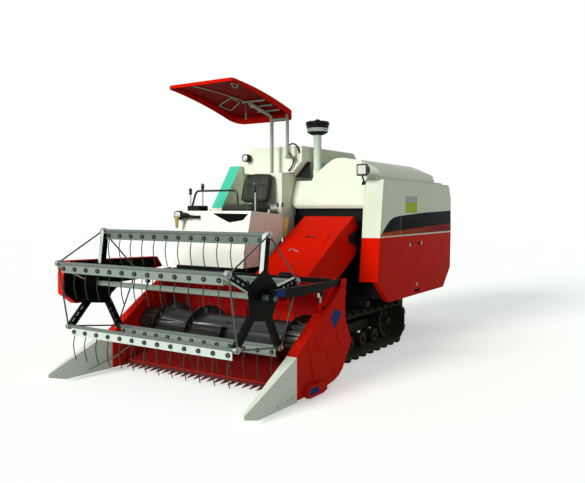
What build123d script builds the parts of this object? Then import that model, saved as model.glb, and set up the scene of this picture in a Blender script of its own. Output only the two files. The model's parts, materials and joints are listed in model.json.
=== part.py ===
# Tracked rice combine harvester: low header with a five-bat pickup reel, inclined feeder house,
# axial threshing body on the left, open driver's station under a canopy on the right.
# Millimetres. +X is the machine's left, -Y the way it drives, +Z up. The origin is on the ground,
# under the middle of the machine.
import math
import os

from build123d import *

# Overall sizes
sheet = 5.0                  # panel thickness of covers
plate = 6.0                  # plain steel plate
run_gap = 6.0                # gap beside parts that move
pin_gap = 0.3                # radial gap of a pin in its hole
seat_gap = 0.3               # gap under a piece that lies against another

# Tracks
track_inner_x = 370.0
track_outer_x = 770.0
belt_thick = 26.0
lug_height = 30.0
lug_pitch = 172.0
lug_share = 0.46             # part of the pitch that a lug fills at its root
idler_y, idler_radius = 930.0, 190.0
sprocket_y, sprocket_z, sprocket_radius = -700.0, 292.0, 150.0
front_roller_y, roller_radius = -560.0, 75.0
roller_count = 5
wheel_width = 120.0
sprocket_teeth_count = 9
guide_gap = 0.4              # between wheels and the belt's inside

# Chassis
rail_x, rail_width, rail_low, rail_top = 250.0, 80.0, 470.0, 580.0
rail_front, rail_rear = -560.0, 2250.0
cross_low = 515.0
engine_beams = (-350.0, -10.0)
side_sill = 1000.0
beam_low, beam_top = 180.0, 290.0
tow_radius, tow_plate = 16.0, 25.0

# Header
wall_inner, wall_outer = 985.0, 1080.0
wall_front_y, wall_foot_z, wall_front_top = -1750.0, 30.0, 375.0
wall_ribs = [                # y, z of both ends of the pressed beads on the wall's outside
    ((-1540.0, 425.0), (-1470.0, 150.0)), ((-1423.0, 484.0), (-1364.0, 357.0)),
    ((-1259.0, 349.0), (-1101.0, 100.0)), ((-1088.0, 475.0), (-945.0, 262.0)),
]
rib_width, rib_height = 24.0, 6.0
back_wall_y, back_wall_top = -985.0, 870.0
auger_y, auger_z = -1262.0, 412.0
auger_drum_radius, auger_flight_radius, trough_radius = 150.0, 224.0, 236.0
auger_shaft_radius, auger_end, auger_drum_wall = 25.0, 972.0, 9.0
flight_pitch, flight_thick, flight_steps = 420.0, 6.0, 16
finger_count, finger_radius, finger_reach = 8, 7.0, 220.0
opening_x0, opening_x1, opening_low, opening_top = 50.0, 590.0, 330.0, 800.0
floor_front = (-1556.0, 92.0)
cutter_z, guard_pitch, guard_count, guard_length = 62.0, 76.2, 25, 120.0
guard_base_y = -1606.0
knife_thick, knife_width = 3.0, 30.0
divider_reach = 680.0        # from the side's front edge to the tip
drive_box_depth = 49.7

# Reel
reel_y, reel_z = -1970.0, 870.0
reel_radius = 484.0
bat_count, tine_count = 5, 13
reel_phase = -8.0            # degrees by which the top bat stands behind the axis
bat_tube_radius, reel_tube_radius = 15.0, 24.0
spider_x, spider_thick, tine_pitch = 925.0, 6.0, 142.0
hub_radius, hub_round = 225.0, 48.0
arm_half, flange_depth, flange_thick = 30.0, 33.0, 5.0
arm_slots = (285.0, 350.0, 415.0)
strip_depth, strip_end, tine_thick = 80.0, 886.0, 6.0
tine_line = [(0.0, -74.0), (-16.0, -150.0), (-10.0, -215.0), (12.0, -295.0)]
link_radius = 7.0
crank_y, crank_z, crank_pin_radius = 46.0, -18.0, 6.0
ring_hub_radius, ring_width, ring_x = 95.0, 18.0, -978.0
arm_inner, arm_outer = 992.0, 1046.0
reel_guard_depth = 83.7
ear_gap, ear_thick = 6.0, 14.0
reel_pivot_y, reel_pivot_z, reel_pin_radius = -900.0, 905.0, 14.0

# Feeder house and header lift
feeder_x0, feeder_x1 = 20.0, 620.0
lift_y, lift_z, lift_round = 40.0, 1240.0, 215.0
lift_shaft_radius = 28.0
feeder_top = [(-979.7, 835.0), (-890.0, 872.0), (-588.0, 1055.0), (-223.0, 1287.0), (110.0, 1470.0)]
feeder_low_front = (-979.7, 400.0)
ram_x, ram_foot_y, ram_foot_z = 320.0, 110.0, 640.0
ram_eye_y, ram_eye_z = -480.0, 640.0
ram_radius, ram_rod_radius, ram_pin_radius = 34.0, 20.0, 14.0

# Reel lift cylinders
reel_ram_x, reel_ram_y, reel_ram_foot_z, reel_ram_eye_z = 1019.0, -1263.0, 470.0, 818.0
reel_ram_radius, reel_ram_rod_radius, reel_ram_pin_radius = 19.0, 11.0, 9.0

# Threshing body and its covers
body_x0, body_x1 = 0.0, 815.0
body_front, body_rear = 262.0, 2230.0
body_floor, body_top = 600.0, 1860.0
bulkhead_x, bulkhead_low = -200.0, 700.0          # the body's front sheet goes on behind the driver
straw_depth = 199.7
cover_x = 875.0
belt_line = 1244.0           # where the red covers meet the white ones
cover_low = 536.0
hood_edge_z, hood_rim_z = 1860.4, 1886.0
hood_front, hood_rear = body_front + run_gap, body_rear - 4.0
hood_hinge_x, hood_hinge_z, hood_pin_radius = 822.0, 1872.0, 5.0
hood_hinge_ys = (500.0, 1200.0, 1900.0)
body_slant = [(262.0, 1685.0), (301.0, 1860.0)]      # the body's front leans back above
corner_x = 700.0
corner_line = [(88.0, 783.0), (150.0, 1254.0), (182.0, 1646.0), (262.0, 1865.0)]   # y, z at corner_x
crease_line = [(167.0, 778.0), (224.0, 1250.0), (304.0, 1861.0)]                   # y, z at cover_x
facet_top = 1855.0           # under the hood's edge

# Driver's station
cowl_x0, cowl_x1 = -980.0, -50.0
cowl_front, cowl_low, cowl_top = -940.0, 965.0, 1530.0
deck_z, deck_thick = 985.0, 20.0
seat_x, seat_z = -475.0, 1512.0
column_x0, column_x1, column_front, column_low, column_top = -650.0, -205.0, -15.0, 1250.0, 1950.0
canopy_x0, canopy_x1 = -880.0, -60.0
post_radius, post_y, post_bend_z = 20.0, 5.0, 2581.0
post_x, rear_post_x, rear_post_foot = -352.0, -145.0, 2110.0
bar_ys, bar_radius, bar_x0, bar_x1 = (-400.0, -260.0, -120.0), 11.0, -450.0, -170.0
roof_line = [(-1081.0, 2800.0), (-607.0, 2745.0), (40.0, 2597.0)]
rim_line = [(-1081.0, 2765.0), (-584.0, 2684.0), (40.0, 2520.0)]
roof_thick, rim_thick, roof_flats = 6.0, 12.0, 12
rail_y, rail_height, rail_tube = -700.0, 1741.0, 11.0
lever_places = [(-962.0, -665.0, 1772.0), (-846.0, -600.0, 1820.0), (-165.0, -570.0, 1834.0)]
door_pin_x, door_pin_y, door_pin_radius = -1038.0, 135.0, 3.5
door_hinge_zs = (700.0, 1100.0, 1480.0)
precleaner_x, precleaner_y = 45.0, 335.0
precleaner_profile = [        # radius, z from the pipe's foot to the cap
    (0.0, 1860.3), (49.0, 1860.3), (49.0, 1995.0), (45.0, 2000.0), (45.0, 2378.0), (70.0, 2382.0),
    (112.0, 2405.0), (118.0, 2412.0), (128.0, 2492.0), (134.0, 2494.0), (134.0, 2516.0), (122.0, 2528.0),
    (30.0, 2532.0), (30.0, 2548.0), (14.0, 2556.0), (0.0, 2556.0),
]

# Grain tank and bagging
tank_x0, tank_x1 = -1030.0, -42.0
tank_front, tank_low_front, tank_rear = 140.0, 236.0, 1461.0
tank_top, tank_shoulder, tank_low = 2250.0, 1950.0, 1480.0
tank_lap_z, tank_step = 1960.0, 2084.0
tank_inner_x, tank_inner_z = -213.0, 1910.0
tank_rear_slope = [(1383.0, 2250.0), (1461.0, 2184.0)]
platform_x, platform_z, platform_reach = -1010.0, 640.0, 460.0

parts = {}


def slab(x, y, z):
    """A box from its lowest and highest corner along each axis."""
    return Pos((x[0] + x[1]) / 2, (y[0] + y[1]) / 2, (z[0] + z[1]) / 2) * Box(
        abs(x[1] - x[0]), abs(y[1] - y[0]), abs(z[1] - z[0])
    )


def prism_x(outline, x0, x1):
    """An outline of (y, z) corners, pushed from x0 to x1."""
    ring = Wire.make_polygon([Vector(x0, y, z) for y, z in outline], close=True)
    return extrude(Face(ring), amount=x1 - x0, dir=(1, 0, 0))


def prism_y(outline, y0, y1):
    """An outline of (x, z) corners, pushed from y0 to y1."""
    ring = Wire.make_polygon([Vector(x, y0, z) for x, z in outline], close=True)
    return extrude(Face(ring), amount=y1 - y0, dir=(0, 1, 0))


def prism_z(outline, z0, z1):
    """An outline of (x, y) corners, pushed from z0 to z1."""
    ring = Wire.make_polygon([Vector(x, y, z0) for x, y in outline], close=True)
    return extrude(Face(ring), amount=z1 - z0, dir=(0, 0, 1))


def panel(points, radii, push):
    """A flat outline of (x, y, z) corners, each with its own round, pushed along a vector."""
    ring = FilletPolyline(*[Vector(*p) for p in points], radius=radii, close=True)
    return extrude(Face(Wire(ring.edges())), amount=Vector(*push).length, dir=push)


def panel_x(outline, radii, x0, x1):
    """An outline of (y, z) corners, each with its own round, pushed from x0 to x1."""
    return panel([(x0, y, z) for y, z in outline], radii, (x1 - x0, 0, 0))


def side_plane(x):
    """The plane square to X, with Y to its right and Z up."""
    return Plane(origin=(x, 0, 0), x_dir=(0, 1, 0), z_dir=(1, 0, 0))


def rod(start, end, radius):
    """A round bar between two points."""
    a, b = Vector(start), Vector(end)
    return Plane(origin=a, z_dir=b - a) * Cylinder(
        radius, (b - a).length, align=(Align.CENTER, Align.CENTER, Align.MIN)
    )


def disc(x0, x1, y, z, radius):
    """A round plate square to X."""
    return rod((x0, y, z), (x1, y, z), radius)


def bent_tube(points, radius, bend):
    """A bar along straight runs joined by arcs of one radius."""
    path = FilletPolyline(*points, radius=bend)
    return sweep(Plane(origin=path @ 0, z_dir=path % 0) * Circle(radius), path=path)


def mirrored(shape):
    """The same piece on the machine's other side."""
    return mirror(shape, about=Plane.YZ)


def fused(pieces):
    """One shape from pieces that touch or cross."""
    first = pieces[0]
    return first.fuse(*pieces[1:]) if len(pieces) > 1 else first


def faceted(rows):
    """A closed solid from rows of corners, each row a ring in the same order."""
    faces = []
    count = len(rows[0])
    for low, high in zip(rows, rows[1:]):
        for i in range(count):
            j = (i + 1) % count
            faces.append(Face(Wire.make_polygon([low[i], low[j], high[j]], close=True)))
            faces.append(Face(Wire.make_polygon([low[i], high[j], high[i]], close=True)))
    for row in (rows[0], rows[-1]):
        for i in range(1, count - 1):
            faces.append(Face(Wire.make_polygon([row[0], row[i], row[i + 1]], close=True)))
    return Solid(Shell(faces))


def polar(y, z, radius, degrees):
    """The (y, z) point at an angle from +Y towards +Z."""
    a = math.radians(degrees)
    return (y + radius * math.cos(a), z + radius * math.sin(a))


# Tracks: a belt round the sprocket, the front roller and the idler, with its lugs in one outline
idler_z = idler_radius + belt_thick + lug_height
roller_z = roller_radius + belt_thick + lug_height
wheels = [  # y, z, radius of each wheel that the belt wraps, anticlockwise from the rear
    (idler_y, idler_z, idler_radius),
    (sprocket_y, sprocket_z, sprocket_radius),
    (front_roller_y, roller_z, roller_radius),
]


def belt_runs():
    """The line round the wheels: arcs as (y, z, radius, start, turn), runs as (start, end, normal)."""
    normals = []
    for i, (y0, z0, r0) in enumerate(wheels):
        y1, z1, r1 = wheels[(i + 1) % len(wheels)]
        gap = math.hypot(y1 - y0, z1 - z0)
        heading = math.atan2(z1 - z0, y1 - y0)
        normals.append(heading - math.pi / 2 + math.asin((r0 - r1) / gap))
    runs = []
    for i, (y0, z0, r0) in enumerate(wheels):
        y1, z1, r1 = wheels[(i + 1) % len(wheels)]
        turn = (normals[i] - normals[i - 1]) % (2 * math.pi)
        runs.append((r0 * turn, ("arc", y0, z0, r0, normals[i - 1])))
        n = normals[i]
        a = (y0 + r0 * math.cos(n), z0 + r0 * math.sin(n))
        b = (y1 + r1 * math.cos(n), z1 + r1 * math.sin(n))
        runs.append((math.dist(a, b), ("run", a, b, n)))
    return runs


def belt_point(runs, s, offset):
    """The point at a distance s round the wheels, lifted by an offset."""
    for length, data in runs:
        if s <= length:
            break
        s -= length
    if data[0] == "arc":
        n = data[4] + s / data[3]
        r = data[3] + offset
        return (data[1] + r * math.cos(n), data[2] + r * math.sin(n))
    t = s / length
    n = data[3]
    y = data[1][0] + (data[2][0] - data[1][0]) * t + offset * math.cos(n)
    return (y, data[1][1] + (data[2][1] - data[1][1]) * t + offset * math.sin(n))


def belt_inside(runs):
    """The face inside the belt, of true arcs and straight runs."""
    edges = []
    s = 0.0
    for length, data in runs:
        a, m, b = (belt_point(runs, s + share * length, 0.0) for share in (0.0, 0.5, 0.999999))
        points = [Vector(track_inner_x - 1, *p) for p in (a, m, b)]
        if data[0] == "arc":
            edges.append(ThreePointArc(*points))
        else:
            edges.append(Line(points[0], points[2]))
        s += length
    corners = [edge @ 0 for edge in edges]
    closed = []
    for i, edge in enumerate(edges):
        after = corners[(i + 1) % len(corners)]
        if runs[i][1][0] == "arc":
            closed.append(ThreePointArc(corners[i], edge @ 0.5, after))
        else:
            closed.append(Line(corners[i], after))
    return Face(Wire(closed))


def track_loop():
    runs = belt_runs()
    total = sum(length for length, data in runs)
    count = round(total / lug_pitch)
    pitch = total / count
    top, foot = belt_thick + lug_height, belt_thick
    bare = 1 - lug_share
    profile = [
        (0.0, foot), (0.05, top), (lug_share / 2, top), (lug_share - 0.05, top), (lug_share, foot),
        (lug_share + bare / 3, foot), (lug_share + bare * 2 / 3, foot),
    ]
    outer = []
    for i in range(count):
        for share, offset in profile:
            outer.append(belt_point(runs, (i + share) * pitch, offset))
    hole = extrude(belt_inside(runs), amount=track_outer_x - track_inner_x + 2, dir=(1, 0, 0))
    return prism_x(outer, track_inner_x, track_outer_x) - hole


def sprocket(x0, x1):
    """The drive wheel's star, whose teeth reach the belt's inside."""
    root, tip = sprocket_radius - 45, sprocket_radius - guide_gap
    corners = []
    for i in range(sprocket_teeth_count):
        for share, r in ((-0.28, root), (-0.14, tip), (0.14, tip), (0.28, root)):
            corners.append(polar(sprocket_y, sprocket_z, r, 360 * (i + share) / sprocket_teeth_count))
    return prism_x(corners, x0, x1)


def roller(x0, x1, y):
    """A track roller with a flange at each end."""
    tread = roller_radius - guide_gap
    pieces = [disc(x0, x0 + 36, y, roller_z, tread), disc(x1 - 36, x1, y, roller_z, tread)]
    pieces.append(disc(x0 + 35, x1 - 35, y, roller_z, tread - 16))
    pieces.append(disc(x0 - 30, x1 + 30, y, roller_z, 24))
    return fused(pieces)


def idler(x0, x1):
    """The big rear wheel: a rim on a thin web with five holes, and its hub."""
    rim = Circle(idler_radius - guide_gap) - Circle(idler_radius - 34)
    web = Circle(idler_radius - 30) - PolarLocations(110, 5) * Circle(32)
    middle = (x0 + x1) / 2
    wheel = extrude(side_plane(x0) * (Pos(idler_y, idler_z) * rim), amount=x1 - x0)
    wheel += extrude(side_plane(middle - 10) * (Pos(idler_y, idler_z) * web), amount=20)
    return wheel + disc(track_inner_x + 30, x1 + 30, idler_y, idler_z, 45)


def undercarriage():
    """Beam, rollers, idler and sprocket inside one track, on their axles."""
    middle = (track_inner_x + track_outer_x) / 2
    x0, x1 = middle - wheel_width / 2, middle + wheel_width / 2
    pieces = [slab((track_inner_x + 30, x0 - 20), (sprocket_y + 60, idler_y + 20), (beam_low, beam_top))]
    step = (idler_y - idler_radius - roller_radius - 40 - front_roller_y) / (roller_count - 1)
    for k in range(roller_count):
        y = front_roller_y + k * step
        pieces.append(roller(x0, x1, y))
        pieces.append(slab((x0 - 50, x0 - 20), (y - 30, y + 30), (roller_z - 20, beam_low + 20)))
    pieces.append(idler(x0, x1))
    pieces.append(sprocket(x0 + 30, x1 - 30))
    pieces.append(disc(205, x1 + 10, sprocket_y, sprocket_z, 55))
    for y in (150, 550):
        across = (rail_x + rail_width / 2, track_inner_x + 60)
        pieces.append(slab(across, (y - 50, y + 50), (beam_low + 20, beam_top)))
    return fused(pieces)


cross_ys = (rail_front + 60, 150, 900, 1600, rail_rear - 60)
outrigger_x = 780.0


def chassis_frame():
    """Two long rails with cross members, the gearbox, the towing plate and the lift cylinder's foot."""
    half = rail_width / 2
    rail = slab((rail_x - half, rail_x + half), (rail_front, rail_rear), (rail_low, rail_top))
    pieces = [rail, mirrored(rail)]
    for y in cross_ys:
        pieces.append(slab((-rail_x, rail_x), (y - 40, y + 40), (cross_low, rail_top)))
    for y in (150, 550):
        for side in (-1, 1):
            x0, x1 = side * (rail_x - half), side * (rail_x + half)
            pieces.append(slab((x0, x1), (y - 50, y + 50), (beam_low + 20, rail_low)))
    pieces.append(slab((-205, 205), (sprocket_y - 120, sprocket_y + 200), (sprocket_z - 90, rail_low)))
    pieces.append(slab((-150, 150), (rail_front + 20, rail_front + 100), (rail_low - 40, cross_low + 20)))
    hitch = slab((-70, 70), (rail_rear - 100, rail_rear + 90), (cross_low, cross_low + tow_plate))
    hole = Pos(0, rail_rear + 55, cross_low) * Cylinder(tow_radius, 3 * tow_plate)
    pieces.append(hitch)
    for x in (ram_x - 56, ram_x + 40):
        ear = slab((x, x + 16), (ram_foot_y - 40, ram_foot_y + 70), (rail_top - 10, ram_foot_z + 30))
        pieces.append(ear)
    pieces.append(slab((rail_x, ram_x + 56), (ram_foot_y, 190), (cross_low, rail_top)))
    pieces.append(disc(ram_x - 56, ram_x + 56, ram_foot_y, ram_foot_z, ram_pin_radius))
    return fused(pieces) - hole


def outriggers():
    """The beams on the left rail that carry the threshing body."""
    x0 = rail_x + rail_width / 2
    beams = []
    for y in cross_ys:
        inner = ram_x + 56 if y == cross_ys[1] else x0
        beams.append(slab((inner, outrigger_x), (y - 40, y + 40), (cross_low, rail_top)))
    return Compound(beams)


def side_frame():
    """The beams and the sill on the right, which carry the deck, the engine and the tank."""
    x1 = -rail_x - rail_width / 2
    pieces = [slab((-side_sill, -side_sill + 60), (rail_front + 20, 1640), (cross_low, rail_top))]
    for y in cross_ys[:4]:
        pieces.append(slab((-side_sill, x1), (y - 40, y + 40), (cross_low, rail_top)))
    for y in engine_beams:
        pieces.append(slab((-side_sill, x1), (y - 30, y + 30), (cross_low, rail_top)))
    for x, y in ((-side_sill, rail_front + 20), (-420.0, rail_front + 20), (x1 - 50, -40)):
        pieces.append(slab((x, x + 50), (y, y + 60), (rail_top - 10, deck_z - deck_thick)))
    for y in (420, 1260):
        pieces.append(slab((platform_x - 22, -side_sill + 5), (y, y + 60), (cross_low, rail_top)))
        pieces.append(slab((platform_x - 22, platform_x), (y, y + 60), (cross_low, platform_z + 18)))
        x, z = platform_x - 11, platform_z + 8
        pieces.append(rod((x, y - 25, z), (x, y + 85, z), 8))
    return fused(pieces)


# Header
def tangent_foot():
    """Where the floor's straight front meets the trough's round."""
    dy, dz = floor_front[0] - auger_y, floor_front[1] - auger_z
    gap = math.hypot(dy, dz)
    bearing = math.degrees(math.atan2(dz, dy))
    return bearing % 360 + math.degrees(math.acos(trough_radius / gap))


def header_trough():
    """One curved sheet: floor, round under the auger, and back wall with the feeder's opening."""
    start, end = tangent_foot(), 350.0
    low = (back_wall_y - 25, 600)
    angles = [start + (end - start) * i / 8 for i in range(9)]
    arc_in = [polar(auger_y, auger_z, trough_radius, angle) for angle in angles]
    arc_out = [polar(auger_y, auger_z, trough_radius + sheet, angle) for angle in angles]
    top_in = [low, (back_wall_y, back_wall_top - 60), (back_wall_y, back_wall_top)]
    top_out = [(y + sheet, z - 2) for y, z in top_in[:2]] + [(back_wall_y + sheet, back_wall_top)]
    outline = [floor_front] + arc_in + top_in + top_out[::-1] + arc_out[::-1]
    outline.append((floor_front[0], floor_front[1] - sheet))
    skin = prism_x(outline, -wall_inner, wall_inner)
    mouth = slab((opening_x0, opening_x1), (back_wall_y - 80, back_wall_y + 40), (opening_low, opening_top))
    beam_z = (back_wall_top - 40, back_wall_top)
    beam = slab((15 - wall_inner, wall_inner - 15), (back_wall_y + sheet - 1, back_wall_y + 45), beam_z)
    room = (back_wall_top - 60, back_wall_top + 10)
    beam -= slab((feeder_x0 - 1, feeder_x1 + 1), (back_wall_y + sheet, back_wall_y + 60), room)
    across = (-wall_inner, wall_inner)
    toe = slab(across, (guard_base_y + 4, floor_front[0] + 12), (cutter_z + 14, floor_front[1]))
    seat = slab(across, (guard_base_y + 30, guard_base_y + 50), (cutter_z + 8 + seat_gap, cutter_z + 20))
    return fused([skin - mouth, beam, toe, seat])


wall_outline = [
    (wall_front_y, wall_foot_z), (wall_front_y, wall_front_top), (-1350.0, 640.0), (-990.0, 860.0),
    (-950.0, 868.0), (-920.0, 848.0), (-909.0, 815.0), (-928.0, 760.0), (-924.0, 577.0), (-802.0, 355.0),
    (-862.0, 276.0), (-921.0, 207.0), (-971.0, 136.0), (-1044.0, 88.0), (-1133.0, 60.0), (-1265.0, 43.0),
]
wall_hollow = [
    (wall_front_y + sheet, wall_foot_z - 10), (wall_front_y + sheet, wall_front_top - 3), (-1348.0, 634.0),
    (-988.0, 854.0), (-951.0, 862.0), (-924.0, 844.0), (-914.0, 815.0), (-933.0, 760.0), (-929.0, 575.0),
    (-808.0, 355.0), (-866.0, 280.0), (-925.0, 211.0), (-974.0, 141.0), (-1046.0, 94.0), (-1134.0, 66.0),
    (-1265.0, 30.0),
]


def header_side():
    """A boxed side: inner and outer plate with the top flange and a rear edge between them, and beads."""
    body = prism_x(wall_outline, wall_inner, wall_outer)
    hollow = prism_x(wall_hollow, wall_inner + sheet, wall_outer - sheet)
    shaft = disc(wall_inner - 1, wall_inner + sheet + 1, auger_y, auger_z, auger_shaft_radius + pin_gap)
    slot = slab((reel_ram_x - 27, reel_ram_x + 27), (reel_ram_y - 40, reel_ram_y + 40), (560, 900))
    pieces = [body - hollow - shaft - slot]
    pieces.append(disc(wall_inner + 1, wall_outer - 1, reel_ram_y, reel_ram_foot_z, reel_ram_pin_radius))
    ear_line = [(-979, 800), (-979, 880), (-935, 930), (-880, 930), (-880, 880), (-925, 800)]
    for x in (arm_inner - ear_gap - ear_thick, arm_outer + ear_gap):
        pieces.append(prism_x(ear_line, x, x + ear_thick))
    x0, x1 = arm_inner - ear_gap - ear_thick, arm_outer + ear_gap + ear_thick
    pieces.append(disc(x0, x1, reel_pivot_y, reel_pivot_z, reel_pin_radius))
    for (y0, z0), (y1, z1) in wall_ribs:
        turn = math.degrees(math.atan2(z1 - z0, y1 - y0))
        bead = Rot(0, 0, turn) * SlotOverall(math.dist((y0, z0), (y1, z1)), rib_width)
        bead = side_plane(wall_outer - 1) * (Pos((y0 + y1) / 2, (z0 + z1) / 2) * bead)
        pieces.append(extrude(bead, amount=rib_height + 1))
    return fused(pieces)


def divider():
    """The crop divider: a hollow wedge that narrows to its tip, with a triangular hole in its side."""
    tip, rear = wall_front_y - divider_reach, wall_front_y - seat_gap
    knee = tip + 0.235 * divider_reach
    x0, x1 = wall_inner + 14, wall_outer + 14
    rows = [
        [Vector(x0, rear, 24), Vector(x1, rear, 24), Vector(x1, rear, 385), Vector(x0, rear, 385)],
        [Vector(x0 + 22, knee, 24), Vector(x1, knee, 24), Vector(x1, knee, 166), Vector(x0 + 50, knee, 166)],
        [Vector(x, tip, z) for x, z in ((x1 - 34, 66), (x1 - 8, 66), (x1 - 8, 94), (x1 - 34, 94))],
    ]
    hole = prism_x([(-1830, 70), (-1770, 100), (-1770, 70)], x1 - 8, x1 + 2)
    return faceted(rows) - hole


def cutter_guards():
    """The cutter bar with its row of pointed fingers."""
    bar = slab((-wall_inner, wall_inner), (guard_base_y, guard_base_y + 52), (cutter_z - 8, cutter_z + 8))
    pieces = [bar]
    for i in range(guard_count):
        x = (i - (guard_count - 1) / 2) * guard_pitch
        rows = []
        for y, half, low, high in (
            (guard_base_y + 4, 17, -8, 8),
            (guard_base_y - guard_length * 0.45, 12, -9, 8),
            (guard_base_y - guard_length, 2, -12, -6),
        ):
            rows.append([
                Vector(x - half, y, cutter_z + low), Vector(x + half, y, cutter_z + low),
                Vector(x + half, y, cutter_z + high), Vector(x - half, y, cutter_z + high),
            ])
        pieces.append(faceted(rows))
    return fused(pieces)


def knife():
    """The knife back with its triangular sections, which slides from side to side on the guards."""
    low = cutter_z + 8 + 0.6
    half = (guard_count - 1) / 2 * guard_pitch
    back_y = guard_base_y - 8
    pieces = [slab((-half, half), (back_y, back_y + knife_width - 6), (low, low + knife_thick))]
    root, tip = guard_base_y - 4, guard_base_y - 62
    for i in range(guard_count - 1):
        x = (i - (guard_count - 2) / 2) * guard_pitch
        corners = [(x - 36, root), (x + 36, root), (x + 9, tip), (x - 9, tip)]
        pieces.append(prism_z(corners, low, low + knife_thick))
    return fused(pieces)


def knife_drive_box():
    """The knife's drive casing, bolted to the outside of the left wall."""
    x0 = wall_outer + seat_gap
    x1 = x0 + drive_box_depth
    outline = [(-1612, 22), (-1640, 70), (-1600, 124), (-1420, 124), (-1330, 96), (-1322, 40), (-1390, 22)]
    return prism_x(outline, x0, x1)


def auger():
    """The drum with its two flights, which feed to the opening, and its fingers."""
    wall = auger_drum_radius - auger_drum_wall
    drum = disc(-auger_end, auger_end, auger_y, auger_z, auger_drum_radius)
    end = auger_end
    for x0, x1 in ((-end - 1, 30 - end), (36 - end, end - 36), (end - 30, end + 1)):
        drum -= disc(x0, x1, auger_y, auger_z, wall)
    drum -= disc(-auger_end, auger_end, auger_y, auger_z + 90, 20)
    pieces = [drum]
    for side in (-1, 1):
        x0, x1 = sorted((side * (auger_end - 60), side * (wall_inner + sheet)))
        pieces.append(disc(x0, x1, auger_y, auger_z, auger_shaft_radius))
    end = auger_end - 2 * flight_thick
    for x0, x1, hand in ((-end, opening_x0 + 60, 1), (end, opening_x1 - 60, -1)):
        rows = []
        steps = round(abs(x1 - x0) / flight_pitch * flight_steps)
        for i in range(steps + 1):
            x = x0 + (x1 - x0) * i / steps
            angle = -hand * 360 * i / flight_steps
            inner = polar(auger_y, auger_z, auger_drum_radius - 3, angle)
            outer = polar(auger_y, auger_z, auger_flight_radius, angle)
            rows.append([
                Vector(x - flight_thick / 2, *inner), Vector(x + flight_thick / 2, *inner),
                Vector(x + flight_thick / 2, *outer), Vector(x - flight_thick / 2, *outer),
            ])
        pieces.append(faceted(rows))
    for i in range(finger_count):
        x = opening_x0 + 40 + (opening_x1 - opening_x0 - 80) * i / (finger_count - 1)
        angle = 100 + 47 * i
        foot = polar(auger_y, auger_z, auger_drum_radius - 10, angle)
        tip = polar(auger_y, auger_z, finger_reach, angle)
        pieces.append(rod((x, *foot), (x, *tip), finger_radius))
    return fused(pieces)


# Reel
def bat_place(k):
    """The (y, z) of a bat's axis. The first bat is at the top, and they go on towards the front."""
    a = math.radians(reel_phase + 360 / bat_count * k)
    return (reel_y - reel_radius * math.sin(a), reel_z + reel_radius * math.cos(a))


def bat(k):
    """A bat tube with the strip under it, its tines, and the crank at its right end."""
    y, z = bat_place(k)
    pieces = [disc(-spider_x - 33, spider_x + 24, y, z, bat_tube_radius)]
    low = z - strip_depth
    strip = [(y - 3, z), (y - 3, low), (y + 12, low), (y + 12, low + 4), (y + 3, low + 4), (y + 3, z)]
    pieces.append(prism_x(strip, -strip_end, strip_end))
    half = tine_thick / 2
    line = [(y + a, z + b) for a, b in tine_line]
    tine = [(a - half, b) for a, b in line] + [(a + half, b) for a, b in line[::-1]]
    for i in range(tine_count):
        x = (i - (tine_count - 1) / 2) * tine_pitch
        pieces.append(prism_x(tine, x - half, x + half))
    x0 = -spider_x - 33
    eye_y, eye_z = y + crank_y, z + crank_z
    arm = [(y - 12, z + 12), (eye_y, eye_z + 12), (eye_y, eye_z - 12), (y - 12, z - 12)]
    pieces.append(prism_x(arm, x0 - 6, x0))
    pieces.append(disc(x0 - 22, x0, eye_y, eye_z, crank_pin_radius))
    return fused(pieces)


def arm_bar(k, r0, r1, side0, side1):
    """The (y, z) face of a bar along one arm, between two distances from the axis and across it."""
    y, z = bat_place(k)
    out_y, out_z = (y - reel_y) / reel_radius, (z - reel_z) / reel_radius
    corners = []
    for r, across in ((r0, side0), (r1, side0), (r1, side1), (r0, side1)):
        corners.append((reel_y + out_y * r - out_z * across, reel_z + out_z * r + out_y * across))
    return Polygon(*corners, align=None)


def spider():
    """The pentagon hub, its five channel arms with a boss at each tip, and the rods from tip to tip."""
    x0, x1 = spider_x - 2, spider_x - 2 + spider_thick
    inner_x = x1 - flange_depth - 4
    turns = [90 + reel_phase + 72 * k for k in range(bat_count)]
    hub = Polygon(*[polar(reel_y, reel_z, hub_radius, turn) for turn in turns], align=None)
    web = fillet(hub.vertices(), hub_round)
    slots = []
    flanges = []
    for k, turn in enumerate(turns):
        y, z = bat_place(k)
        web += arm_bar(k, hub_radius / 2, reel_radius, -arm_half, arm_half)
        web += Pos(y, z) * Circle(bat_tube_radius + 12)
        for r in arm_slots:
            slots.append(Pos(*polar(reel_y, reel_z, r, turn)) * Rot(0, 0, turn) * SlotOverall(40, 18))
        for across in (-arm_half, arm_half - flange_thick):
            flanges.append(arm_bar(k, hub_radius - 45, reel_radius, across, across + flange_thick))
    for slot in slots:
        web -= slot
    pieces = [extrude(side_plane(x0) * web, amount=spider_thick)]
    for flange in flanges:
        pieces.append(extrude(side_plane(inner_x) * flange, amount=x1 - inner_x))
    for k in range(bat_count):
        y, z = bat_place(k)
        y1, z1 = bat_place(k + 1)
        pieces.append(disc(x0 - 14, x1 + 14, y, z, bat_tube_radius + 12))
        pieces.append(rod((x1 + 7, y, z), (x1 + 7, y1, z1), link_radius))
    solid = fused(pieces)
    for k in range(bat_count):
        y, z = bat_place(k)
        solid -= disc(x0 - 15, x1 + 15, y, z, bat_tube_radius + pin_gap)
    return solid


def reel():
    """The centre tube with a spider at each end."""
    tube = disc(-arm_outer - reel_guard_depth + 12, arm_outer, reel_y, reel_z, reel_tube_radius)
    return fused([tube, spider(), mirrored(spider())])


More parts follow.
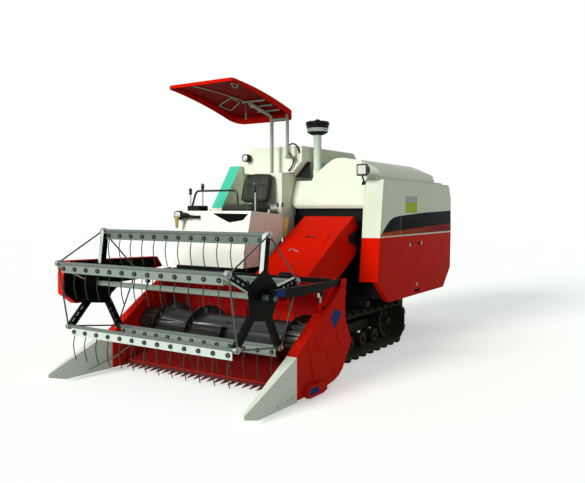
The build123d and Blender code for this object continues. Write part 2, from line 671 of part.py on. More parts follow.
def reel_ring():
    """The off-centre ring on its fixed hub, whose spokes hold the bats' cranks and keep the tines hanging."""
    centre = Pos(reel_y + crank_y, reel_z + crank_z)
    face = centre * Circle(ring_hub_radius + ring_width)
    half = ring_width / 2
    for k in range(bat_count):
        y, z = bat_place(k)
        face += Pos(crank_y, crank_z) * arm_bar(k, ring_hub_radius, reel_radius, -half, half)
        face += Pos(y + crank_y, z + crank_z) * Circle(crank_pin_radius + 10)
        face -= Pos(y + crank_y, z + crank_z) * Circle(crank_pin_radius + pin_gap)
    face -= centre * Circle(ring_hub_radius + 2 * pin_gap)
    return extrude(side_plane(ring_x) * face, amount=8)


def reel_frame():
    """Two tapered arms joined by a cross beam, with the reel's bearings, the ring's hub and the lift eyes."""
    outline = [
        (reel_pivot_y + 26, 892), (reel_pivot_y + 26, 920), (-1619, 928), (-1990, 932),
        (-1990, 884), (-1619, 846), (-1250, 856),
    ]
    pieces = []
    for side in (-1, 1):
        x0, x1 = sorted((side * arm_inner, side * arm_outer))
        arm = prism_x(outline, x0, x1)
        bearing = prism_x([(-2010, 834), (-2010, 890), (-1930, 890), (-1930, 834)], x0 + 12, x1 - 12)
        arm = arm + bearing
        for ear in (-22, 14):
            lug = slab(
                (side * reel_ram_x + ear, side * reel_ram_x + ear + 8),
                (reel_ram_y - 18, reel_ram_y + 18),
                (reel_ram_eye_z - 14, 870),
            )
            arm += lug
        middle = side * reel_ram_x
        arm += disc(middle - 22, middle + 22, reel_ram_y, reel_ram_eye_z, reel_ram_pin_radius)
        pieces.append(arm)
    pieces.append(slab((-arm_inner, arm_inner), (-1070, -1020), (895, 935)))
    pieces.append(disc(-arm_inner - 1, ring_x + 9, reel_y + crank_y, reel_z + crank_z, ring_hub_radius))
    solid = fused(pieces)
    for side in (-1, 1):
        x0, x1 = sorted((side * (arm_inner - 30), side * (arm_outer + 1)))
        solid -= disc(x0, x1, reel_y, reel_z, reel_tube_radius + pin_gap)
        solid -= disc(x0, x1, reel_pivot_y, reel_pivot_z, reel_pin_radius + pin_gap)
    return solid


def reel_drive_guard():
    """The cover over the reel's chain drive, on the outside of the right arm."""
    x1 = -arm_outer - seat_gap
    x0 = x1 - reel_guard_depth
    outline = [
        (-2262, 790), (-2262, 985), (-2190, 1085), (-1090, 1056), (-1016, 950),
        (-1500, 896), (-1700, 745), (-1860, 690), (-2130, 690),
    ]
    inset = [
        (-2255, 794), (-2255, 983), (-2186, 1078), (-1093, 1049), (-1025, 955),
        (-1498, 903), (-1697, 751), (-1858, 697), (-2128, 697),
    ]
    return prism_x(outline, x0, x1) - prism_x(inset, x0 + sheet, x1 + 1)


# Feeder house and lift cylinders
def feeder_outline(shrink):
    """The (y, z) outline of the feeder house, round about its pivot at the rear."""
    r = lift_round - shrink
    low_front = (feeder_low_front[0], feeder_low_front[1] + shrink * 1.15)
    slope = math.degrees(math.atan2(lift_z - lift_round - low_front[1], lift_y - low_front[0])) + 6
    arc = [polar(lift_y, lift_z, r, slope - 90 + (142 - slope) * i / 8) for i in range(9)]
    top = [(y, z - shrink * 1.15) for y, z in feeder_top[::-1]]
    return [low_front] + arc + top


def feeder_house():
    """The inclined conveyor's casing, open at both ends, with its pivot tubes at the rear."""
    body = prism_x(feeder_outline(0.0), feeder_x0, feeder_x1)
    inner = prism_x(feeder_outline(sheet), feeder_x0 + sheet, feeder_x1 - sheet)
    front = feeder_low_front[0]
    ends = slab((feeder_x0 + 6, feeder_x1 - 6), (front - 2, front + 20), (opening_low + 80, opening_top))
    rear = slab((feeder_x0 + 30, feeder_x1 - 30), (lift_y + 120, lift_y + 230), (lift_z - 100, lift_z + 120))
    pieces = [body - inner - ends - rear]
    for x in (feeder_x0, feeder_x1 - 14):
        pieces.append(disc(x, x + 14, lift_y, lift_z, lift_shaft_radius + 22))
    solid = fused(pieces) - disc(feeder_x0 - 1, feeder_x1 + 1, lift_y, lift_z, lift_shaft_radius + pin_gap)
    ears = []
    for x in (ram_x - 46, ram_x + 30):
        ears.append(slab((x, x + 16), (ram_eye_y - 30, ram_eye_y + 30), (ram_eye_z - 26, 745)))
    ears.append(disc(ram_x - 46, ram_x + 46, ram_eye_y, ram_eye_z, ram_pin_radius))
    return fused([solid] + ears)


def ram_line(start, end, share):
    """A point part of the way from a cylinder's foot to its eye."""
    return tuple(a + (b - a) * share for a, b in zip(start, end))


def lift_ram():
    """The header's lift cylinder: barrel and rod."""
    foot, eye = (ram_x, ram_foot_y, ram_foot_z), (ram_x, ram_eye_y, ram_eye_z)
    span = math.dist(foot, eye)
    head = ram_line(foot, eye, (span - 150) / span)
    barrel = rod(ram_line(foot, eye, 30 / span), head, ram_radius)
    barrel += disc(ram_x - 28, ram_x + 28, ram_foot_y, ram_foot_z, ram_radius + 2)
    barrel -= disc(ram_x - 29, ram_x + 29, ram_foot_y, ram_foot_z, ram_pin_radius + pin_gap)
    barrel -= rod(ram_line(foot, eye, 100 / span), eye, ram_rod_radius + pin_gap)
    bar = rod(ram_line(foot, eye, 110 / span), ram_line(foot, eye, (span - 20) / span), ram_rod_radius)
    bar += disc(ram_x - 28, ram_x + 28, ram_eye_y, ram_eye_z, ram_pin_radius + 18)
    bar -= disc(ram_x - 29, ram_x + 29, ram_eye_y, ram_eye_z, ram_pin_radius + 5)
    return barrel, bar


def reel_ram(side):
    """One reel lift cylinder, which stands in the header's boxed side under the arm."""
    x = side * reel_ram_x
    foot, eye = (x, reel_ram_y, reel_ram_foot_z), (x, reel_ram_y, reel_ram_eye_z)
    barrel = rod((x, reel_ram_y, reel_ram_foot_z), (x, reel_ram_y, 738), reel_ram_radius)
    barrel += disc(x - 12, x + 12, reel_ram_y, reel_ram_foot_z, reel_ram_radius)
    barrel -= disc(x - 20, x + 20, reel_ram_y, reel_ram_foot_z, reel_ram_pin_radius + pin_gap)
    barrel -= rod((x, reel_ram_y, 520), (x, reel_ram_y, 760), reel_ram_rod_radius + pin_gap)
    bar = rod((x, reel_ram_y, 530), (x, reel_ram_y, reel_ram_eye_z - 10), reel_ram_rod_radius)
    y, z = reel_ram_y, reel_ram_eye_z
    top = slab((x - 12, x + 12), (y - 27, y + 27), (z - 18, z + 18))
    reach = reel_ram_pin_radius + 0.9
    slot = slab((x - 13, x + 13), (y - 20, y + 20), (z - reach, z + reach))
    return barrel, bar + top - slot


# Threshing body and covers
def body_outline(skin):
    """The (y, z) outline of the threshing body, drawn in by a skin and open below."""
    low = body_floor - (1 if skin else 0)
    (y0, z0), (y1, z1) = body_slant
    return [
        (body_front + skin, low), (y0 + skin, z0), (y1 + skin, z1 - skin),
        (body_rear - skin, body_top - skin), (body_rear - skin, low),
    ]


def threshing_body():
    """The sheet box round the threshing drum, open below, with the feeder's pivot brackets."""
    outer = prism_x(body_outline(0.0), body_x0, body_x1)
    inner = prism_x(body_outline(sheet), body_x0 + sheet, body_x1 - sheet)
    throat = (lift_z - 100, lift_z + 120)
    mouth = slab((feeder_x0 + 30, feeder_x1 - 30), (body_front - 1, body_front + sheet + 1), throat)
    pieces = [outer - inner - mouth]
    for y in (900, 1600):
        for x in (body_x0, body_x1 - 60):
            pieces.append(slab((x, x + 60), (y - 30, y + 30), (rail_top + seat_gap, body_floor + 40)))
    bracket = [
        (lift_y - 34, lift_z - 36), (lift_y - 34, lift_z + 36),
        (body_front, lift_z + 120), (body_front, lift_z - 120),
    ]
    pieces.append(slab((bulkhead_x, body_x0 + sheet), (body_front, body_front + sheet), (bulkhead_low, 1552)))
    for x in (feeder_x0 - 20, feeder_x1 + 6):
        pieces.append(prism_x(bracket, x, x + 14))
    pieces.append(disc(feeder_x0 - 20, feeder_x1 + 20, lift_y, lift_z, lift_shaft_radius))
    return fused(pieces)


hood_arch = [  # x, z of the hood's outside from its right edge to its hinge
    (17.0, hood_edge_z), (17.0, 1888.0), (99.0, 1964.0), (171.0, 2024.0), (260.0, 2082.0), (330.0, 2106.0),
    (426.0, 2106.0), (520.0, 2084.0), (620.0, 2075.0), (750.0, 1990.0), (812.0, 1900.0), (812.0, hood_edge_z),
]
hood_corner = [  # the front left corner's slanted cut at the rim and 260 above: three corners each
    [(649.0, 200.0, hood_rim_z), (870.0, 200.0, hood_rim_z), (870.0, 512.0, hood_rim_z)],
    [(543.0, 200.0, hood_rim_z + 260), (870.0, 200.0, hood_rim_z + 260), (870.0, 661.0, hood_rim_z + 260)],
]
hood_rear_corner = [(848.0, 1910.0), (848.0, 2300.0), (567.0, 2300.0)]
hood_ramp = [(1560.0, 2130.0), (1560.0, 2106.0), (1850.0, 2025.0), (2244.0, 1895.0), (2244.0, 2130.0)]
hood_pocket = ((-5.0, 100.0), (280.0, 390.0))           # x and y of the room for the pre-cleaner's pipe


def hood_volume(skin):
    """The hood's outside, or its inside when drawn in by a skin."""
    arch = [(x + math.copysign(skin, 400 - x), z - skin) for x, z in hood_arch]
    solid = prism_y(arch, hood_front + skin, hood_rear - skin)
    solid -= Pos(-0.8 * skin, 0.6 * skin, -skin) * faceted([[Vector(*p) for p in row] for row in hood_corner])
    solid -= Pos(-skin, -skin, -skin) * prism_z(hood_rear_corner, hood_rim_z, hood_rim_z + 260)
    solid -= Pos(0, -skin, -skin) * prism_x(hood_ramp, -10, 830)
    (x0, x1), (y0, y1) = hood_pocket
    return solid - slab((x0, x1 + skin), (y0 - skin, y1 + skin), (body_top - 60, body_top + 300))


def threshing_hood():
    """The arched lid over the threshing drum, with three hinge pins along its left edge."""
    pieces = [hood_volume(0.0) - hood_volume(sheet)]
    x, z = hood_hinge_x, hood_hinge_z
    for y in hood_hinge_ys:
        pieces.append(slab((807, x), (y - 36, y + 36), (z - 4, z + 4)))
        pieces.append(rod((x, y - 50, z), (x, y + 50, z), hood_pin_radius))
    return fused(pieces)


cover_rear = body_rear + straw_depth - 6
cover_top = 1863.0


def line_y(line, z):
    """The y at a height on a broken line of (y, z) points."""
    for (y0, z0), (y1, z1) in zip(line, line[1:]):
        if z <= z1:
            break
    return y0 + (y1 - y0) * (z - z0) / (z1 - z0)


def corner_facet(heights, skin):
    """The volume behind the slanted front corner, drawn in by a skin."""
    x0, x1, back = corner_x + skin, cover_x - skin, 345.0
    rows = []
    for z in heights:
        y0, y1 = line_y(corner_line, z) + 1.2 * skin, line_y(crease_line, z) + 1.2 * skin
        rows.append([Vector(x0, y0, z), Vector(x1, y1, z), Vector(x1, back, z), Vector(x0, back, z)])
    return faceted(rows)


def side_cover(outline, radii, heights):
    """A pressed cover with its edge turned in, wrapped round the machine's front corner."""
    cy = sum(p[0] for p in outline) / len(outline)
    cz = sum(p[1] for p in outline) / len(outline)
    inset = [(y + math.copysign(sheet, cy - y), z + math.copysign(sheet, cz - z)) for y, z in outline]
    inset_radii = [max(r - sheet, 0) for r in radii]
    outer = panel_x(outline, radii, body_x1 + seat_gap, cover_x) + corner_facet(heights, 0.0)
    inner_heights = [heights[0] + sheet] + heights[1:-1] + [heights[-1] - sheet]
    hollow = panel_x(inset, inset_radii, body_x1 - 1, cover_x - sheet) + corner_facet(inner_heights, sheet)
    (y0, z0), (y1, z1) = body_slant
    y0, y1, low = y0 - seat_gap, y1 - seat_gap, cover_low
    front = [(y0, low), (y0, z0), (y1, z1), (400, z1), (400, low)]
    return outer - hollow - prism_x(front, corner_x - 1, body_x1 + seat_gap)


def side_cover_upper():
    """The white cover beside the threshing drum, with the ears that hold the hood's pins."""
    outline = [
        (line_y(crease_line, belt_line), belt_line), (line_y(crease_line, 1861.0), cover_top),
        (2326.0, cover_top), (2411.0, 1691.0), (cover_rear, belt_line),
    ]
    pieces = [side_cover(outline, [0, 12, 70, 60, 0], [belt_line, 1646.0, facet_top])]
    for hinge_y in hood_hinge_ys:
        for y in (hinge_y - 49, hinge_y + 41):
            ear = slab((hood_hinge_x - 6, hood_hinge_x + 6), (y, y + 8), (cover_top - 4, hood_hinge_z))
            ear += rod((hood_hinge_x, y, hood_hinge_z), (hood_hinge_x, y + 8, hood_hinge_z), 7.6)
            pieces.append(ear)
    solid = fused(pieces)
    for y in hood_hinge_ys:
        start, end = (hood_hinge_x, y - 52, hood_hinge_z), (hood_hinge_x, y + 52, hood_hinge_z)
        solid -= rod(start, end, hood_pin_radius + pin_gap)
    return solid


def side_cover_lower():
    """The red cover beside the sieves, with two hand recesses and the slot over its lower edge."""
    foot = 783.0
    outline = [
        (line_y(crease_line, foot), foot), (line_y(crease_line, belt_line), belt_line),
        (cover_rear, belt_line),
        (2412.0, 781.0), (2151.0, 538.0), (447.0, cover_low),
    ]
    solid = side_cover(outline, [30, 0, 0, 45, 70, 70], [foot, belt_line])
    for y, z, wide, high in ((1060, 1150, 90, 30), (1341, 1145, 90, 30), (1262, 585, 150, 34)):
        hole = side_plane(cover_x - sheet - 1) * (Pos(y, z) * SlotOverall(wide, high))
        solid -= extrude(hole, amount=sheet + 2)
    return solid


front_profile = [  # y, z of the front cover's outside
    (232.0, 1553.0), (205.0, 1557.0), (182.0, 1590.0), (182.0, 1646.0), (225.0, 1790.0), (258.0, 1866.0),
]


def front_cover():
    """The pressed white cover in front of the drum's top, over the feeder house."""
    x0, x1, back = -200.0, corner_x - seat_gap, body_front - seat_gap
    low, high = front_profile[0][1], front_profile[-1][1]
    shapes = []
    for skin in (0.0, sheet):
        profile = [(y + skin, z) for y, z in front_profile]
        volume = prism_x([(back + skin, low)] + profile + [(back + skin, high)], x0, x1)
        left, right, foot, top = x0 + skin, x1 - skin, low + skin, high - skin
        face = [(left, 0, foot), (right, 0, foot), (right, 0, top), (left, 0, top)]
        shapes.append(volume & panel(face, [70 - skin, 0, 0, 30 - skin], (0, 400, 0)))
    return shapes[0] - shapes[1]


def corner_cover():
    """The dark jamb that closes the side between the feeder and the slanted corner."""
    x0, x1, low, high = corner_x - 12, corner_x - 6, 790.0, 1550.0
    back = body_front - seat_gap
    edge = [(line_y(corner_line, z) + 6, z) for z in (low, 1254.0, high)]
    jamb = prism_x([(back, low)] + edge + [(back, high)], x0, x1)
    return jamb + slab((x0 - 40, x1), (back - plate, back), (low, high))


def straw_hood():
    """The rear hood, open below where the straw drops out."""
    front, rear = body_rear + seat_gap, body_rear + seat_gap + straw_depth
    top = body_top - 2
    outline = [
        (front, top), (rear - 100, top), (rear - 14, 1691), (rear, belt_line), (rear - 18, 800), (front, 700),
    ]
    inner = [
        (front - 1, top - 6), (rear - 104, top - 6), (rear - 20, 1690), (rear - 6, belt_line),
        (rear - 23, 790), (front - 1, 690),
    ]
    outer = panel_x(outline, [0, 64, 50, 60, 0, 0], body_x0, body_x1)
    return outer - panel_x(inner, [0, 58, 44, 54, 0, 0], body_x0 + sheet, body_x1 - sheet)


# Driver's station
cowl_side = [
    (cowl_front, cowl_low), (-795.0, cowl_top), (-228.0, 1491.0), (-228.0, 1250.0), (-560.0, cowl_low),
]
ear_side = -(arm_inner - ear_gap - ear_thick - run_gap)   # the notch that the reel's ear swings through
ear_rear = cowl_front + 60


def front_cowl():
    """The white cowl round the driver's feet, with a ledge in front and a console on each side."""
    body = prism_x(cowl_side, cowl_x0, cowl_x1)
    inside = [
        (cowl_front + 2, cowl_low - 10), (-790, cowl_top - sheet), (-220, 1485), (-220, 1250), (-220, 950),
    ]
    body -= prism_x(inside, cowl_x0 + sheet, cowl_x1 - sheet)
    body -= slab((-830, -260), (-650, -220), (1000, 1600))
    body -= slab((cowl_x0 - 10, -820), (-420, -220), (900, 1600))
    return body - slab((cowl_x0 - 1, ear_side), (cowl_front - 1, ear_rear), (cowl_low - 1, cowl_low + 115))


def operator_deck():
    """The chequered floor and the step at the right."""
    x0, x1 = cowl_x0 + sheet + seat_gap, cowl_x1 - sheet - seat_gap
    floor = slab((x0, x1), (cowl_front + 30, 62), (deck_z - deck_thick, deck_z))
    floor -= slab((-820, -300), (-470, -45), (deck_z - deck_thick - 1, deck_z + 1))
    floor -= slab((x0 - 1, ear_side), (cowl_front, ear_rear), (deck_z - deck_thick - 1, deck_z + 1))
    return floor - slab((x0 - 1, -850), (-272, 70), (deck_z - deck_thick - 1, deck_z + 1))


def engine_cover():
    """The box over the engine that carries the seat."""
    outer = slab((-828, -262), (-500, -16), (deck_z + seat_gap, seat_z - 0.5))
    inner = slab((-823, -267), (-495, -21), (deck_z - 10, seat_z - sheet - 0.5))
    return outer - inner


def seat():
    cushion = slab((seat_x - 215, seat_x + 215), (-500, -110), (seat_z, seat_z + 88))
    cushion = fillet(cushion.edges().filter_by(Axis.Z), 50)
    foot, top = seat_z + 88 + seat_gap, 1945.0
    back = prism_x([(-190, foot), (-115, foot), (-20, top), (-75, top)], seat_x - 185, seat_x + 185)
    return cushion, back


def side_column():
    """The white housing behind the seat that carries the front post of the roof."""
    rear = tank_low_front - seat_gap
    outer = slab((column_x0, column_x1), (column_front, rear), (column_low, column_top))
    across = (column_x0 + 6, column_x1 - 6)
    inner = slab(across, (column_front + 6, rear + 1), (column_low - 1, column_top - 6))
    return outer - inner


def radiator_housing():
    """The dust housing beside the engine, with its slanted front and the door's hinge ears."""
    foot = rail_top + seat_gap
    outline = [(-270, foot), (-270, 1560), (80, 2050), (136, 2050), (136, foot)]
    inner = [(-262, foot - 10), (-262, 1557), (84, 2043), (128, 2043), (128, foot - 10)]
    pieces = [prism_x(outline, -1000, -852) - prism_x(inner, -1001, -860)]
    for hinge_z in door_hinge_zs:
        for z in (hinge_z - 35, hinge_z + 27):
            ear = slab((door_pin_x, -999), (door_pin_y - 4, door_pin_y + 1), (z, z + 8))
            ear += rod((door_pin_x, door_pin_y, z), (door_pin_x, door_pin_y, z + 8), 6.5)
            pieces.append(ear)
    solid = fused(pieces)
    for z in door_hinge_zs:
        start, end = (door_pin_x, door_pin_y, z - 40), (door_pin_x, door_pin_y, z + 40)
        solid -= rod(start, end, door_pin_radius + pin_gap)
    return solid


def radiator_door():
    """The louvred door over the radiator, hinged at its rear edge."""
    door = slab((-1030, -1000.6), (-262, 128), (rail_top + 60, 1540))
    for y in (-195, -67, 61):
        for k in range(9):
            z = rail_top + 150 + 88 * k
            hole = side_plane(-1031) * (Pos(y, z) * SlotOverall(100, 16))
            door -= extrude(hole, amount=32)
    for z in door_hinge_zs:
        knuckle = rod((door_pin_x, door_pin_y, z - 24), (door_pin_x, door_pin_y, z + 24), 6.5)
        knuckle += slab((door_pin_x - 4, door_pin_x + 9), (120, door_pin_y), (z - 24, z + 24))
        pin = rod((door_pin_x, door_pin_y, z - 36), (door_pin_x, door_pin_y, z + 36), door_pin_radius)
        door = door + knuckle + pin
    return door


def roof_band(top_line, low_line):
    """The roof's side view between two arcs of short flats, pushed over its width."""
    outline = []
    for line in (top_line, low_line[::-1]):
        arc = ThreePointArc(*(Vector(canopy_x0, *p) for p in line))
        outline += [(point.Y, point.Z) for point in (arc @ (i / roof_flats) for i in range(roof_flats + 1))]
    return prism_x(outline, canopy_x0, canopy_x1)


def roof_plan(inset):
    """The roof's plan: pointed in front, rounded behind."""
    front, rear = roof_line[0][0] + inset, roof_line[2][0] - inset
    x0, x1 = canopy_x0 + inset, canopy_x1 - inset
    corners = [(x0, front, 2400), (x1, front, 2400), (x1, rear, 2400), (x0, rear, 2400)]
    return panel(corners, [34 - inset, 34 - inset, 110 - inset, 150 - inset], (0, 0, 500))


def canopy_roof():
    """The curved sun roof, a thin shell with its rim turned down, deeper towards the rear."""
    outer = roof_band(roof_line, rim_line) & roof_plan(0)
    under = [(y, z - roof_thick) for y, z in roof_line]
    deep = [(y, z - 120) for y, z in rim_line]
    return outer - (roof_band(under, deep) & roof_plan(rim_thick))


def roof_under(y):
    """Height of the roof's underside at a place along it."""
    (ya, za), (yb, zb), (yc, zc) = roof_line
    ab, bc = (yb**2 - ya**2 + zb**2 - za**2) / 2, (yc**2 - yb**2 + zc**2 - zb**2) / 2
    det = (yb - ya) * (zc - zb) - (yc - yb) * (zb - za)
    cy = (ab * (zc - zb) - bc * (zb - za)) / det
    cz = ((yb - ya) * bc - (yc - yb) * ab) / det
    return cz + math.sqrt((ya - cy) ** 2 + (za - cz) ** 2 - (y - cy) ** 2) - roof_thick


def canopy_posts():
    """Two tubes up to the roof, the front one bent forward, with the cross bars under the roof."""
    bars = [(y, roof_under(y) - bar_radius - 2 * seat_gap) for y in bar_ys]
    foot = column_top + 2 * seat_gap
    end_y, end_z = bars[0][0] - 10, bars[0][1] - 24
    bend = [(post_x, post_y, foot), (post_x, post_y, post_bend_z), (post_x, end_y, end_z)]
    front = bent_tube(bend, post_radius, 70)
    rear_top = roof_under(post_y) - 12
    rear = rod((rear_post_x, post_y, rear_post_foot), (rear_post_x, post_y, rear_top), post_radius - 2)
    pieces = [front, rear, rod((post_x, post_y, 2540), (rear_post_x, post_y, 2540), 13)]
    bracket = slab((rear_post_x - 26, rear_post_x + 26), (post_y - 8, tank_front - seat_gap), (2105, 2135))
    pieces.append(bracket)
    for y, z in bars:
        pieces.append(rod((bar_x0, y, z), (bar_x1, y, z), bar_radius))
        along = post_bend_z + (end_z - post_bend_z) * (post_y - y) / (post_y - end_y)
        pieces.append(rod((post_x, y, along), (post_x, y, z), 10))
    return fused(pieces)


def tank_volume(skin):
    """The tank's outside, or its inside when drawn in by a skin."""
    outline = [
        (tank_x0 + skin, tank_low - skin), (tank_x0 + skin, tank_shoulder - skin * 0.4),
        (-730 + skin * 0.4, tank_top - skin), (tank_x1 - skin, tank_top - skin),
        (tank_x1 - skin, tank_step + skin * 0.4),
        (tank_inner_x - skin, tank_inner_z + skin * 0.4), (tank_inner_x - skin, tank_low - skin),
    ]
    solid = prism_y(outline, tank_front + skin, tank_rear - skin)
    across = (tank_x0 - 10, tank_x1 + 10)
    solid -= slab(across, (tank_front - 10, tank_low_front + skin), (tank_low - 20, tank_lap_z + skin))
    (y0, z0), (y1, z1) = tank_rear_slope
    slope = [(y0, z0), (y0, z0 + 60), (y1 + 60, z0 + 60), (y1 + 60, z1 - 51), (y1, z1)]
    return solid - Pos(0, -skin, -skin * 0.4) * prism_x(slope, *across)


def grain_tank():
    """The white grain tank with a sloping right shoulder, which laps over the column in front."""
    return tank_volume(0.0) - tank_volume(5.0)


def chute(y, wall):
    """One tapered chute under the tank, drawn in by its wall."""
    rows = []
    for z, half in ((tank_low - 10, 120.0), (1210.0, 60.0), (1120.0, 60.0)):
        reach = half - wall
        height = z + (wall if z > 1400 else -wall if z < 1200 else 0)
        corners = ((-reach, -reach), (reach, -reach), (reach, reach), (-reach, reach))
        rows.append([Vector(-850 + a, y + b, height) for a, b in corners])
    return faceted(rows)


def bag_spouts():
    """The tank's floor with three hollow chutes, and the legs that carry the tank."""
    front = tank_low_front
    floor = slab((tank_x0, tank_inner_x), (front, tank_rear), (tank_low - 16, tank_low - seat_gap))
    pieces = [floor]
    chutes = (480, 800, 1120)
    for y in chutes:
        pieces.append(chute(y, 0.0))
    for x in (tank_x0 + 40, tank_inner_x - 60):
        for y in (front + 10, tank_rear - 60):
            pieces.append(slab((x, x + 50), (y, y + 50), (rail_top + seat_gap, tank_low - 5)))
    solid = fused(pieces)
    for y in chutes:
        solid -= chute(y, 4.0)
    return solid


def bag_platform():
    """The bagging platform, folded up, hinged at its lower edge."""
    board = slab((platform_x - 22, platform_x), (360, 1380), (platform_z, platform_z + platform_reach))
    for y in (420, 1260):
        board -= slab((platform_x - 23, platform_x + 1), (y - 6, y + 66), (platform_z - 1, platform_z + 26))
    x, z = platform_x - 11, platform_z + 8
    return board - rod((x, 350, z), (x, 1390, z), 8 + pin_gap)


def engine_block():
    return slab((-800, -350), (-400, 50), (rail_top + seat_gap, 960))


def precleaner():
    """The air intake: a pipe with the round dust bowl on top."""
    points = [Vector(precleaner_x + r, precleaner_y, z) for r, z in precleaner_profile]
    half = Face(Wire.make_polygon(points, close=True))
    return revolve(half, Axis((precleaner_x, precleaner_y, 0), (0, 0, 1)), 360)


def console_z(y):
    """Height of the cowl's top at a place."""
    (y0, z0), (y1, z1) = cowl_side[1], cowl_side[2]
    return z0 + (z1 - z0) * (y - y0) / (y1 - y0)


def guard_rail():
    foot = console_z(rail_y) + 4.2
    line = [(-925, foot), (-850, rail_height), (-300, rail_height), (-283, foot)]
    return bent_tube([(x, rail_y, z) for x, z in line], rail_tube, 60)


def control_levers():
    pieces = []
    for x, y, high in lever_places:
        stem = rod((x, y, console_z(y) + 0.9), (x, y, high - 60), 7)
        pieces.append(stem + rod((x, y, high - 70), (x, y, high), 17))
    return pieces


def lamps():
    """Round lamps on their brackets: in front of the cowl, over the drum, and on the tank."""
    x, y, z = -932.0, -880.0, 1481.0
    head = rod((x, y - 28, z), (x, y + 24, z), 50) + rod((x, y, z), (-713, y, z - 14), 15)
    (y0, z0), (y1, z1) = cowl_side[0], cowl_side[1]
    foot = [(y, z - 28)]
    for height in (z - 28, z):
        foot.append((y0 + (y1 - y0) * (height - z0) / (z1 - z0) - 2 * seat_gap, height))
    foot.append((y, z))
    head += prism_x(foot, -735, -700)
    (ya, za), (yb, zb) = front_profile[4:6]
    run = math.hypot(yb - ya, zb - za)
    along, out = ((yb - ya) / run, (zb - za) / run), (-(zb - za) / run, (yb - ya) / run)
    plate_line = []
    for t, lift in ((16, 0.4), (52, 0.4), (52, 8), (16, 8)):
        plate_line.append((ya + along[0] * t + out[0] * lift, za + along[1] * t + out[1] * lift))
    middle = (ya + along[0] * 34 + out[0] * 5, za + along[1] * 34 + out[1] * 5)
    work = prism_x(plate_line, 655, 695) + rod((684, *middle), (684, 150, 1950), 9)
    work += rod((684, 150, 1950), (724, 145, 1957), 9) + rod((724, 98, 1957), (724, 160, 1957), 62)
    tank = rod((-770, 60, 2140), (-770, 125, 2140), 45)
    tank += rod((-770, 100, 2140), (-770, tank_front - seat_gap, 2140), 12)
    return Compound([head, work, tank])


parts["track_left"] = track_loop()
parts["track_right"] = mirrored(parts["track_left"])
parts["undercarriage_left"] = undercarriage()
parts["undercarriage_right"] = mirrored(parts["undercarriage_left"])
parts["chassis_frame"] = chassis_frame()
parts["outriggers_left"] = outriggers()
parts["side_frame_right"] = side_frame()
parts["header_trough"] = header_trough()
parts["header_side_left"] = header_side()
parts["header_side_right"] = mirrored(parts["header_side_left"])
parts["divider_left"] = divider()
parts["divider_right"] = mirrored(parts["divider_left"])
parts["cutter_guards"] = cutter_guards()
parts["knife"] = knife()
parts["knife_drive_box"] = knife_drive_box()
parts["auger"] = auger()
for number in range(bat_count):
    parts[f"bat_{number + 1}"] = bat(number)
parts["reel"] = reel()
parts["reel_ring"] = reel_ring()
parts["reel_frame"] = reel_frame()
parts["reel_drive_guard"] = reel_drive_guard()
parts["feeder_house"] = feeder_house()
parts["lift_ram_barrel"], parts["lift_ram_rod"] = lift_ram()
parts["reel_ram_barrel_left"], parts["reel_ram_rod_left"] = reel_ram(1)
parts["reel_ram_barrel_right"], parts["reel_ram_rod_right"] = reel_ram(-1)
parts["threshing_body"] = threshing_body()
parts["threshing_hood"] = threshing_hood()
parts["side_cover_upper"] = side_cover_upper()
parts["side_cover_lower"] = side_cover_lower()
parts["front_cover"] = front_cover()
parts["corner_cover"] = corner_cover()
parts["straw_hood"] = straw_hood()
parts["front_cowl"] = front_cowl()
parts["operator_deck"] = operator_deck()
parts["engine_cover"] = engine_cover()
parts["seat_cushion"], parts["seat_back"] = seat()
parts["side_column"] = side_column()
parts["radiator_housing"] = radiator_housing()
parts["radiator_door"] = radiator_door()
parts["canopy_roof"] = canopy_roof()
parts["canopy_posts"] = canopy_posts()
parts["grain_tank"] = grain_tank()
parts["bag_spouts"] = bag_spouts()
parts["bag_platform"] = bag_platform()
parts["engine_block"] = engine_block()
parts["precleaner"] = precleaner()
parts["guard_rail"] = guard_rail()
parts["control_levers"] = Compound(control_levers())
parts["lamps"] = lamps()

os.makedirs("parts", exist_ok=True)
for name, shape in parts.items():
    solids = shape.solids()
    export_step(Compound(solids) if len(solids) > 1 else solids[0], f"parts/{name}.step")
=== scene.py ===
# A small tracked rice combine harvester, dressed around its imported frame.
# Metres, +Z up, it drives towards -Y, and left and right are the driver's.
import bpy
import json
import math
from mathutils import Matrix, Vector


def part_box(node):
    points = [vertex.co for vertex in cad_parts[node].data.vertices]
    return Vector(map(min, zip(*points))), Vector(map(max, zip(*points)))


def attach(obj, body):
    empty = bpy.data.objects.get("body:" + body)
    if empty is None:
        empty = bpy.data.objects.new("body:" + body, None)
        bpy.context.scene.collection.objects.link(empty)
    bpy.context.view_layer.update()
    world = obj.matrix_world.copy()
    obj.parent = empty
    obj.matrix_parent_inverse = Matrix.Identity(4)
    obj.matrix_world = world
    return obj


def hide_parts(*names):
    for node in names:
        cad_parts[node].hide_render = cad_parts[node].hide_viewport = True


# Stage 1: the frame
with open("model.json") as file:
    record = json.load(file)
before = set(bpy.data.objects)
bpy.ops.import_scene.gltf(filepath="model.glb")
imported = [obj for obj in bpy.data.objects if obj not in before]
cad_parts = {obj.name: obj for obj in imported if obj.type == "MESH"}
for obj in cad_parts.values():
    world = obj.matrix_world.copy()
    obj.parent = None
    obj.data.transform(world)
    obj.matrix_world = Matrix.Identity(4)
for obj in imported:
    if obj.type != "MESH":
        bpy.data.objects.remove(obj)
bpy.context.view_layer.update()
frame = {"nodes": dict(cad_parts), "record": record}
cadNodes = frame["nodes"]
bodyOfNode = {node: body for body, nodes in frame["record"]["behaviour"]["bodies"].items() for node in nodes}
print("stage 1: the frame is loaded,", len(cadNodes), "nodes")


